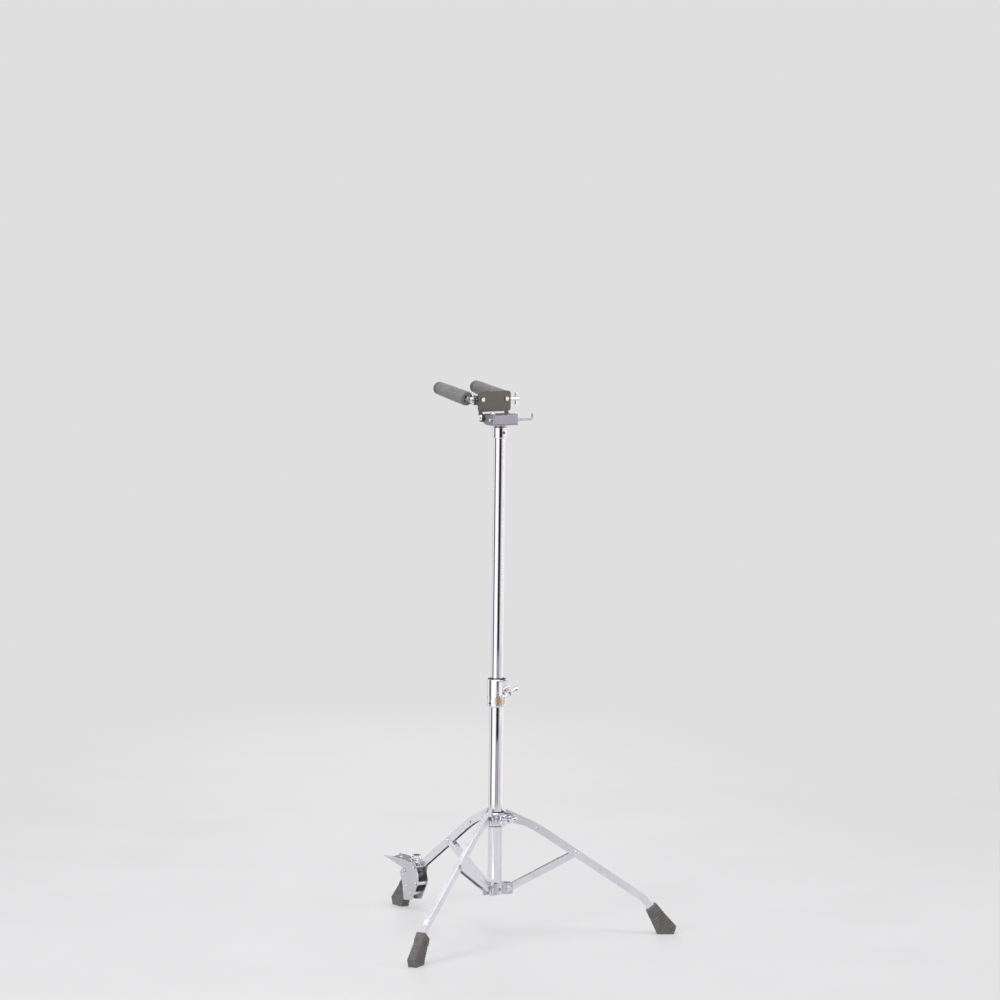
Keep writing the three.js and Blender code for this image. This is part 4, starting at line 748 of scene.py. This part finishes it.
def roundedCopy(node, voxel, smoothing):
    source = bpy.data.objects.new(node + "_source", nodes[node].data.copy())
    bpy.context.scene.collection.objects.link(source)
    remesh = source.modifiers.new("voxels", "REMESH")
    remesh.mode, remesh.voxel_size = "VOXEL", voxel
    mesh = bpy.data.meshes.new_from_object(source.evaluated_get(bpy.context.evaluated_depsgraph_get()))
    bpy.data.objects.remove(source)
    build = bmesh.new()
    build.from_mesh(mesh)
    for _ in range(smoothing):
        bmesh.ops.smooth_vert(build, verts=build.verts, factor=0.5,
                              use_axis_x=True, use_axis_y=True, use_axis_z=True)
    build.normal_update()
    return build


foamLook = {"voxel": 0.9 * mm, "smoothing": 6, "swell": 0.2 * mm, "swellScale": 45.0,
            "pore": 0.2 * mm, "poreScale": 420.0, "fill": 0.9}


def makeSleeve(side):
    node = "sleeve_" + side
    build = roundedCopy(node, foamLook["voxel"], foamLook["smoothing"])
    for vertex in build.verts:
        swell = (noise.noise(vertex.co * foamLook["swellScale"]) - 1) * foamLook["swell"]
        pore = max(noise.noise(vertex.co * foamLook["poreScale"]), 0) * foamLook["pore"]
        vertex.co += vertex.normal * (swell - pore)
    piece = showPiece(node + "_foam", meshFrom(build, node + "_body", crease=80), sleeveFoam, node)


for side in armSides:
    makeSleeve(side)

bootLook = {"voxel": 0.75 * mm, "smoothing": 5, "outShare": 0.62, "downShare": 0.78,
            "rib": 1.3 * mm, "ribPitch": 5.8 * mm, "hatch": 0.55 * mm, "hatchPitch": 6.2 * mm,
            "plainMouth": 14 * mm, "mouthFade": 4 * mm, "soleEdge": 2.5 * mm, "soleFade": 3 * mm,
            "soleHeight": 0.8 * mm, "soleFlat": 0.05 * mm, "groove": 0.9 * mm, "groovePitch": 5 * mm,
            "grooveEdge": 0.45, "flankFade": 1.6}


def makeBoot(leg):
    node, look = "foot_" + leg, bootLook
    build = roundedCopy(node, look["voxel"], look["smoothing"])
    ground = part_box(node)[0].z
    along = (outOf(leg) * look["outShare"] - upward * look["downShare"]).normalized()
    side = sideOf(leg)
    cross = side.cross(along)
    top = max(vertex.co.z for vertex in build.verts)
    for vertex in build.verts:
        point = vertex.co
        flank = 1 - min(abs(vertex.normal.dot(along)) * look["flankFade"], 1)
        below = min(max((top - look["plainMouth"] - point.z) / look["mouthFade"], 0), 1)
        above = min(max((point.z - look["soleEdge"]) / look["soleFade"], 0), 1)
        band = math.cos(2 * math.pi * point.dot(along) / look["ribPitch"])
        hatch = math.cos(2 * math.pi * (point.dot(side) + point.dot(cross)) / look["hatchPitch"])
        ribbing = (band - 1) * look["rib"] + (hatch - 1) * look["hatch"]
        point += vertex.normal * ribbing / 2 * flank * below * above
        if point.z < look["soleHeight"]:
            radial = (point - mastFoot).dot(outOf(leg))
            if math.cos(2 * math.pi * radial / look["groovePitch"]) > look["grooveEdge"]:
                point.z += look["groove"]
            else:
                point.z = max(ground, min(point.z, look["soleFlat"]))
    showPiece(node + "_moulded", meshFrom(build, node + "_boot", crease=60), bootRubber, node)


for leg in legTurns:
    makeBoot(leg)

capLook = {"outer": 13.45 * mm, "bore": 6.3 * mm, "mouth": 118.3 * mm, "chamfer": 0.6 * mm,
           "wallEnd": 122.3 * mm, "boreEnd": 127.5 * mm, "tip": 131.3 * mm, "pitch": math.radians(8),
           "domeSteps": 10, "fullness": 0.62}


def makeCap(side):
    node, look = "arm_cap_" + side, capLook
    pitch = look["pitch"]
    place = axisFrame(jointPlace(side + "_arm_hinge"), (0, -math.cos(pitch), math.sin(pitch)))
    outer, bore, tip, wallEnd = look["outer"], look["bore"], look["tip"], look["wallEnd"]
    mouth, chamfer = look["mouth"], look["chamfer"]
    profile = [(0, look["boreEnd"]), (bore, look["boreEnd"]), (bore, mouth),
               (outer - chamfer, mouth), (outer, mouth + chamfer), (outer, wallEnd)]
    for step in range(1, look["domeSteps"]):
        angle = step / look["domeSteps"] * math.pi / 2
        radius = outer * math.cos(angle) ** look["fullness"]
        profile.append((radius, wallEnd + (tip - wallEnd) * math.sin(angle)))
    build = bmesh.new()
    addTurned(build, profile + [(0, tip)], sides=64, place=place)
    showPiece(node + "_moulded", meshFrom(build, node + "_cap", crease=50), bootRubber, node)


for side in armSides:
    makeCap(side)
print("knob, hook, sleeves, boots and caps made")


# Castings and pressings keep the frame's form and get rounded edges: edge in mm, segments, material

refined = {
    "base_hub": (1.0, 3, hubCasting), "leg_collar": (1.0, 3, chromePlate),
    "height_clamp": (1.0, 3, chromePlate),
    "head_collar": (0.8, 3, chromePlate), "head_block": (1.4, 3, satinCasting),
    "yoke_bracket": (0.8, 3, yokePlate), "lock_lever": (0.7, 3, chromePlate),
    "endpin_tray": (0.5, 2, zincPlate), "endpin_pad": (0.4, 2, bootRubber),
    "rest_plate_right": (0.5, 2, zincPlate), "rest_plate_left": (0.5, 2, zincPlate),
    "leg_front": (0.6, 3, pressedChrome), "leg_right": (0.6, 3, pressedChrome),
    "leg_left": (0.6, 3, pressedChrome), "brace_front": (0.6, 3, pressedChrome),
    "brace_right": (0.6, 3, pressedChrome), "brace_left": (0.6, 3, pressedChrome),
    "arm_right": (0.5, 2, chromePlate), "arm_left": (0.5, 2, chromePlate),
    "mast_plug": (0.3, 2, mouldedNylon), "tube_guide": (0.3, 2, mouldedNylon),
    "clamp_screw": (0.2, 2, blackenedSteel), "head_collar_screw": (0.2, 2, blackenedSteel),
}


def refine(node, edge, segments, material):
    piece = showPiece(node + "_refined", refinedMesh(node, edge * mm, segments), material, node)
    flatter = piece.modifiers.new("flatter", "WEIGHTED_NORMAL")
    flatter.keep_sharp = True


for node, (edge, segments, material) in refined.items():
    refine(node, edge, segments, material)
print("castings and pressings refined")


# Small fasteners and the bare plate, which have no node of their own

socketLook = {"sink": 1 * mm, "socket": 1.3 * mm, "socketDepth": 1.4 * mm,
              "round": 0.5 * mm, "corner": 0.1 * mm}
hubScrewLook = {"radius": 2.5 * mm, "out": 0.7 * mm, "hubRadius": 20 * mm, "height": 100 * mm}
blockBoltLook = {"radius": 3.4 * mm, "out": 2.2 * mm, "back": 11 * mm, "height": 1102 * mm}


def addSocketHead(name, origin, axis, look, carrier, material):
    radius, top, socket = look["radius"], look["out"], socketLook["socket"]
    bottom = top - socketLook["socketDepth"]
    sink = -socketLook["sink"]
    profile = [(0, sink), (radius, sink), (radius, top), (socket, top), (socket, bottom), (0, bottom)]
    rounded = roundCorners(profile, socketLook["round"], socketLook["corner"])
    build = bmesh.new()
    addTurned(build, rounded, place=axisFrame(origin, axis))
    addPiece(name, meshFrom(build, name + "_turning", crease=40), material, carrier)


hubScrewPlace = (mastMiddle.x, mastMiddle.y + hubScrewLook["hubRadius"], hubScrewLook["height"])
addSocketHead("hub_set_screw", hubScrewPlace, (0, 1, 0), hubScrewLook,
              "base_hub", blackenedSteel)
blockBoltPlace = (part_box("head_block")[1].x, mastMiddle.y + blockBoltLook["back"], blockBoltLook["height"])
addSocketHead("block_side_bolt", blockBoltPlace, (1, 0, 0), blockBoltLook,
              "head_block", chromePlate)

yokeRivetLook = {"radius": 4.5 * mm, "height": 2.5 * mm, "sink": 0.5 * mm, "headHeight": 2.2 * mm,
                 "round": 2.2 * mm, "corner": 0.2 * mm, "below": 8 * mm, "slack": 0.3 * mm}


# Bright head over one of the yoke's plate rivets, found from the plate's points that stand furthest back
def addYokeRivet(side):
    look = yokeRivetLook
    low = jointPlace(side + "_arm_hinge").z - look["below"]
    plate = [corner for corner in cornersIn("yoke_bracket", Matrix())
             if corner.z > low and corner.x * armSides[side] > 0]
    back = max(corner.y for corner in plate)
    tops = [corner for corner in plate if corner.y > back - look["slack"]]
    across = (min(corner.x for corner in tops) + max(corner.x for corner in tops)) / 2
    height = (min(corner.z for corner in tops) + max(corner.z for corner in tops)) / 2
    place = axisFrame((across, back - look["headHeight"], height), (0, 1, 0))
    radius, sink, top = look["radius"], -look["sink"], look["height"]
    profile = [(0, sink), (radius, sink), (radius, top), (0, top)]
    build = bmesh.new()
    addTurned(build, roundCorners(profile, look["round"], look["corner"]), place=place)
    name = "yoke_rivet_" + side
    addPiece(name, meshFrom(build, name + "_turning", crease=40), chromePlate, "yoke_bracket")


for side in armSides:
    addYokeRivet(side)

plateLook = {"radius": 20.45 * mm, "thickness": 0.4 * mm, "low": 497.3 * mm, "high": 511 * mm,
             "azimuth": math.radians(76), "halfAngle": math.radians(40), "corner": 2.4 * mm,
             "columns": 28, "rows": 14}


# Thin curved plate on the clamp, closed all round, with round corners
def makeBarePlate():
    look = plateLook
    rows, columns, corner = look["rows"], look["columns"], look["corner"]
    middle, half = (look["low"] + look["high"]) / 2, (look["high"] - look["low"]) / 2
    build = bmesh.new()
    sheets = []
    for radius in (look["radius"], look["radius"] + look["thickness"]):
        sheet = []
        for row in range(rows + 1):
            height = math.sin((row / rows - 0.5) * math.pi) * half
            over = min(max(abs(height) - (half - corner), 0) / corner, 1)
            reach = look["halfAngle"] - corner / look["radius"] * (1 - math.sqrt(1 - over ** 2))
            turns = [look["azimuth"] + reach * (2 * column / columns - 1) for column in range(columns + 1)]
            points = [Vector((radius * math.cos(turn), radius * math.sin(turn), middle + height))
                      for turn in turns]
            sheet.append([build.verts.new(mastFoot + point) for point in points])
        sheets.append(sheet)
    inner, outer = sheets
    for row in range(rows):
        for column in range(columns):
            for sheet in sheets:
                build.faces.new((sheet[row][column], sheet[row][column + 1],
                                 sheet[row + 1][column + 1], sheet[row + 1][column]))
    rim = [(0, column) for column in range(columns)] + [(row, columns) for row in range(rows)]
    rim += [(rows, column) for column in range(columns, 0, -1)] + [(row, 0) for row in range(rows, 0, -1)]
    for (row, column), (nextRow, nextColumn) in zip(rim, rim[1:] + rim[:1]):
        build.faces.new((inner[row][column], inner[nextRow][nextColumn],
                         outer[nextRow][nextColumn], outer[row][column]))
    plate = meshFrom(build, "clamp_bare_plate_sheet")
    addPiece("clamp_bare_plate", plate, goldPlate, "height_clamp")


makeBarePlate()
print("fasteners added")


# Floor, world, reflected cards, lamps and camera

studio = {
    "floorColour": (0.70, 0.697, 0.70),
    "floorRadius": 7.0,
    "floorSides": 96,
    "floorRoughness": 0.75,
    "mottleScale": 3.0,
    "mottle": (0.97, 1.03),
    "floorFade": (0.9, 3.2),
    "floorGlow": 0.45,
    "worldColour": (0.95, 0.965, 1.0),
    "worldLight": 0.5,
    "seenColour": (0.745, 0.742, 0.75),
    "cardColour": (0.012, 0.011, 0.012),
    "cardGlow": (1, 0.985, 1),
    "cardRoughness": 0.9,
}


def addStage(name, mesh, material):
    item = bpy.data.objects.new(name, mesh)
    bpy.context.scene.collection.objects.link(item)
    mesh.materials.append(material)
    return item


def makeFloor():
    build = bmesh.new()
    bmesh.ops.create_circle(build, cap_ends=True, radius=studio["floorRadius"], segments=studio["floorSides"])
    mesh = meshFrom(build, "floor_disc")
    material, tree, shader = newMaterial("paleFloor")
    place = addNode(tree, "TexCoord").outputs["Object"]
    tone = addRange(tree, addNoise(tree, place, studio["mottleScale"], 2), 0.3, 0.7, *studio["mottle"])
    tint = addNode(tree, "HueSaturation")
    tint.inputs["Color"].default_value = (*studio["floorColour"], 1)
    tree.links.new(tone, tint.inputs["Value"])
    tree.links.new(tint.outputs[0], shader.inputs["Base Color"])
    shader.inputs["Roughness"].default_value = studio["floorRoughness"]
    distance = addNode(tree, "VectorMath", operation="LENGTH")
    tree.links.new(place, distance.inputs[0])
    solid = addRange(tree, distance.outputs["Value"], *studio["floorFade"], 1.0, 0.0)
    tree.links.new(solid, shader.inputs["Alpha"])
    glow, mix, path, clear, faded = [addNode(tree, kind) for kind in
                                     ("Emission", "MixShader", "LightPath", "BsdfTransparent", "MixShader")]
    glow.inputs["Color"].default_value = (*studio["seenColour"], 1)
    amount = addMath(tree, "MULTIPLY", path.outputs["Is Camera Ray"], studio["floorGlow"])
    tree.links.new(amount, mix.inputs[0])
    tree.links.new(solid, faded.inputs[0])
    tree.links.new(clear.outputs[0], faded.inputs[1])
    tree.links.new(glow.outputs[0], faded.inputs[2])
    tree.links.new(shader.outputs[0], mix.inputs[1])
    tree.links.new(faded.outputs[0], mix.inputs[2])
    tree.links.new(mix.outputs[0], tree.nodes["Material Output"].inputs["Surface"])
    addStage("floor", mesh, material)


def makeWorld():
    world = bpy.data.worlds.new("studio")
    bpy.context.scene.world = world
    world.use_nodes = True
    tree = world.node_tree
    tree.nodes.clear()
    output, path, lit, seen, mix = [addNode(tree, kind) for kind in
                                    ("OutputWorld", "LightPath", "Background", "Background", "MixShader")]
    lit.inputs["Color"].default_value = (*studio["worldColour"], 1)
    lit.inputs["Strength"].default_value = studio["worldLight"]
    seen.inputs["Color"].default_value = (*studio["seenColour"], 1)
    seen.inputs["Strength"].default_value = 1
    rays = addMath(tree, "MAXIMUM", path.outputs["Is Camera Ray"], path.outputs["Is Transmission Ray"])
    tree.links.new(addMath(tree, "MAXIMUM", rays, path.outputs["Is Glossy Ray"]), mix.inputs[0])
    tree.links.new(lit.outputs[0], mix.inputs[1])
    tree.links.new(seen.outputs[0], mix.inputs[2])
    tree.links.new(mix.outputs[0], output.inputs["Surface"])


# Cards that only the polished metal sees: azimuth, distance, width, low edge, high edge, glow
cards = [
    (72, 1.5, 1.1, 0.3, 1.7, 0), (54, 1.5, 0.17, 0.0, 0.3, 0), (74, 1.5, 0.85, 0.0, 0.3, 0.42),
    (92, 1.5, 0.15, 0.0, 0.3, 0.1), (120, 1.45, 0.15, 0.0, 0.36, 0.05), (100, 1.55, 0.12, 0.3, 1.7, 0.25),
    (147, 1.52, 0.1, 0.0, 1.3, 0.4), (330, 1.5, 0.55, 0.0, 1.7, 0), (240, 1.5, 0.35, 0.0, 1.7, 0),
    (264, 1.5, 0.3, 0.0, 1.7, 0.1), (16, 1.5, 1.45, 0.0, 1.5, 1.25), (126, 1.5, 0.95, 0.0, 1.3, 0.95),
    (172, 1.5, 1.1, 0.0, 1.3, 1.1), (210, 1.5, 0.7, 0.0, 1.3, 1.0), (292, 1.5, 0.8, 0.0, 1.5, 1.0),
]


def makeCard(index, azimuth, distance, width, low, high, glow):
    turn = math.radians(azimuth)
    middle = mastFoot + Vector((math.cos(turn), math.sin(turn), 0)) * distance
    across = Vector((-math.sin(turn), math.cos(turn), 0)) * width / 2
    build = bmesh.new()
    corners = [middle - across + upward * low, middle + across + upward * low,
               middle + across + upward * high, middle - across + upward * high]
    build.faces.new([build.verts.new(corner) for corner in corners])
    material, _, shader = newMaterial(f"studioCard{index}")
    shader.inputs["Base Color"].default_value = (*studio["cardColour"], 1)
    shader.inputs["Roughness"].default_value = studio["cardRoughness"]
    shader.inputs["Emission Color"].default_value = (*studio["cardGlow"], 1)
    shader.inputs["Emission Strength"].default_value = glow
    card = addStage(f"studio_card_{index}", meshFrom(build, f"studio_card_{index}_sheet"), material)
    card.visible_camera = card.visible_diffuse = card.visible_shadow = False


# Area lamps: place, target, width and height, power in watts
lamps = {
    "keyLamp": ((3.6, 1.2, 1.35), (0, 0.1, 0.9), (1.0, 2.4), 70),
    "fillLamp": ((-2.6, 2.5, 1.35), (0, 0.1, 0.9), (0.9, 2.4), 40),
    "backLamp": ((-1.6, -2.8, 1.6), (0, 0.1, 0.9), (0.8, 2.0), 30),
    "topLamp": ((0.4, 0.2, 3.4), (0, 0, 0.4), (2.2, 2.2), 45),
}


def makeLamp(name, place, target, size, power):
    data = bpy.data.lights.new(name, "AREA")
    data.shape = "RECTANGLE"
    data.size, data.size_y = size
    data.energy = power
    lamp = bpy.data.objects.new(name, data)
    bpy.context.scene.collection.objects.link(lamp)
    lamp.location = place
    lamp.rotation_mode = "QUATERNION"
    lamp.rotation_quaternion = (Vector(target) - Vector(place)).to_track_quat("-Z", "Y")
    lamp.visible_camera = False


makeFloor()
makeWorld()
for index, values in enumerate(cards):
    makeCard(index, *values)
for name, values in lamps.items():
    makeLamp(name, *values)

# Fitted to the photo: place in metres, heading, roll in degrees
cameraFit = {
    "place": (5.0698, 7.5358, 1.863),
    "heading": (-0.5605, -0.8217, -0.1030),
    "roll": -0.67,
    "focalPixels": 4285.7,
    "framePixels": 1000,
    "sensorWidth": 36,
    "farthest": 60,
}


def makeCamera():
    data = bpy.data.cameras.new("camera")
    camera = bpy.data.objects.new("camera", data)
    bpy.context.scene.collection.objects.link(camera)
    data.sensor_width = cameraFit["sensorWidth"]
    data.lens = cameraFit["focalPixels"] / cameraFit["framePixels"] * data.sensor_width
    data.clip_end = cameraFit["farthest"]
    forward = Vector(cameraFit["heading"]).normalized()
    right = forward.cross(upward).normalized()
    up = right.cross(forward)
    turn = math.radians(cameraFit["roll"])
    across = math.cos(turn) * right - math.sin(turn) * up
    above = math.sin(turn) * right + math.cos(turn) * up
    axes = Matrix((across, above, -forward)).transposed()
    camera.matrix_world = Matrix.Translation(cameraFit["place"]) @ axes.to_4x4()
    bpy.context.scene.camera = camera


makeCamera()
bpy.context.scene.view_settings.view_transform = "Standard"
print("stage ready")
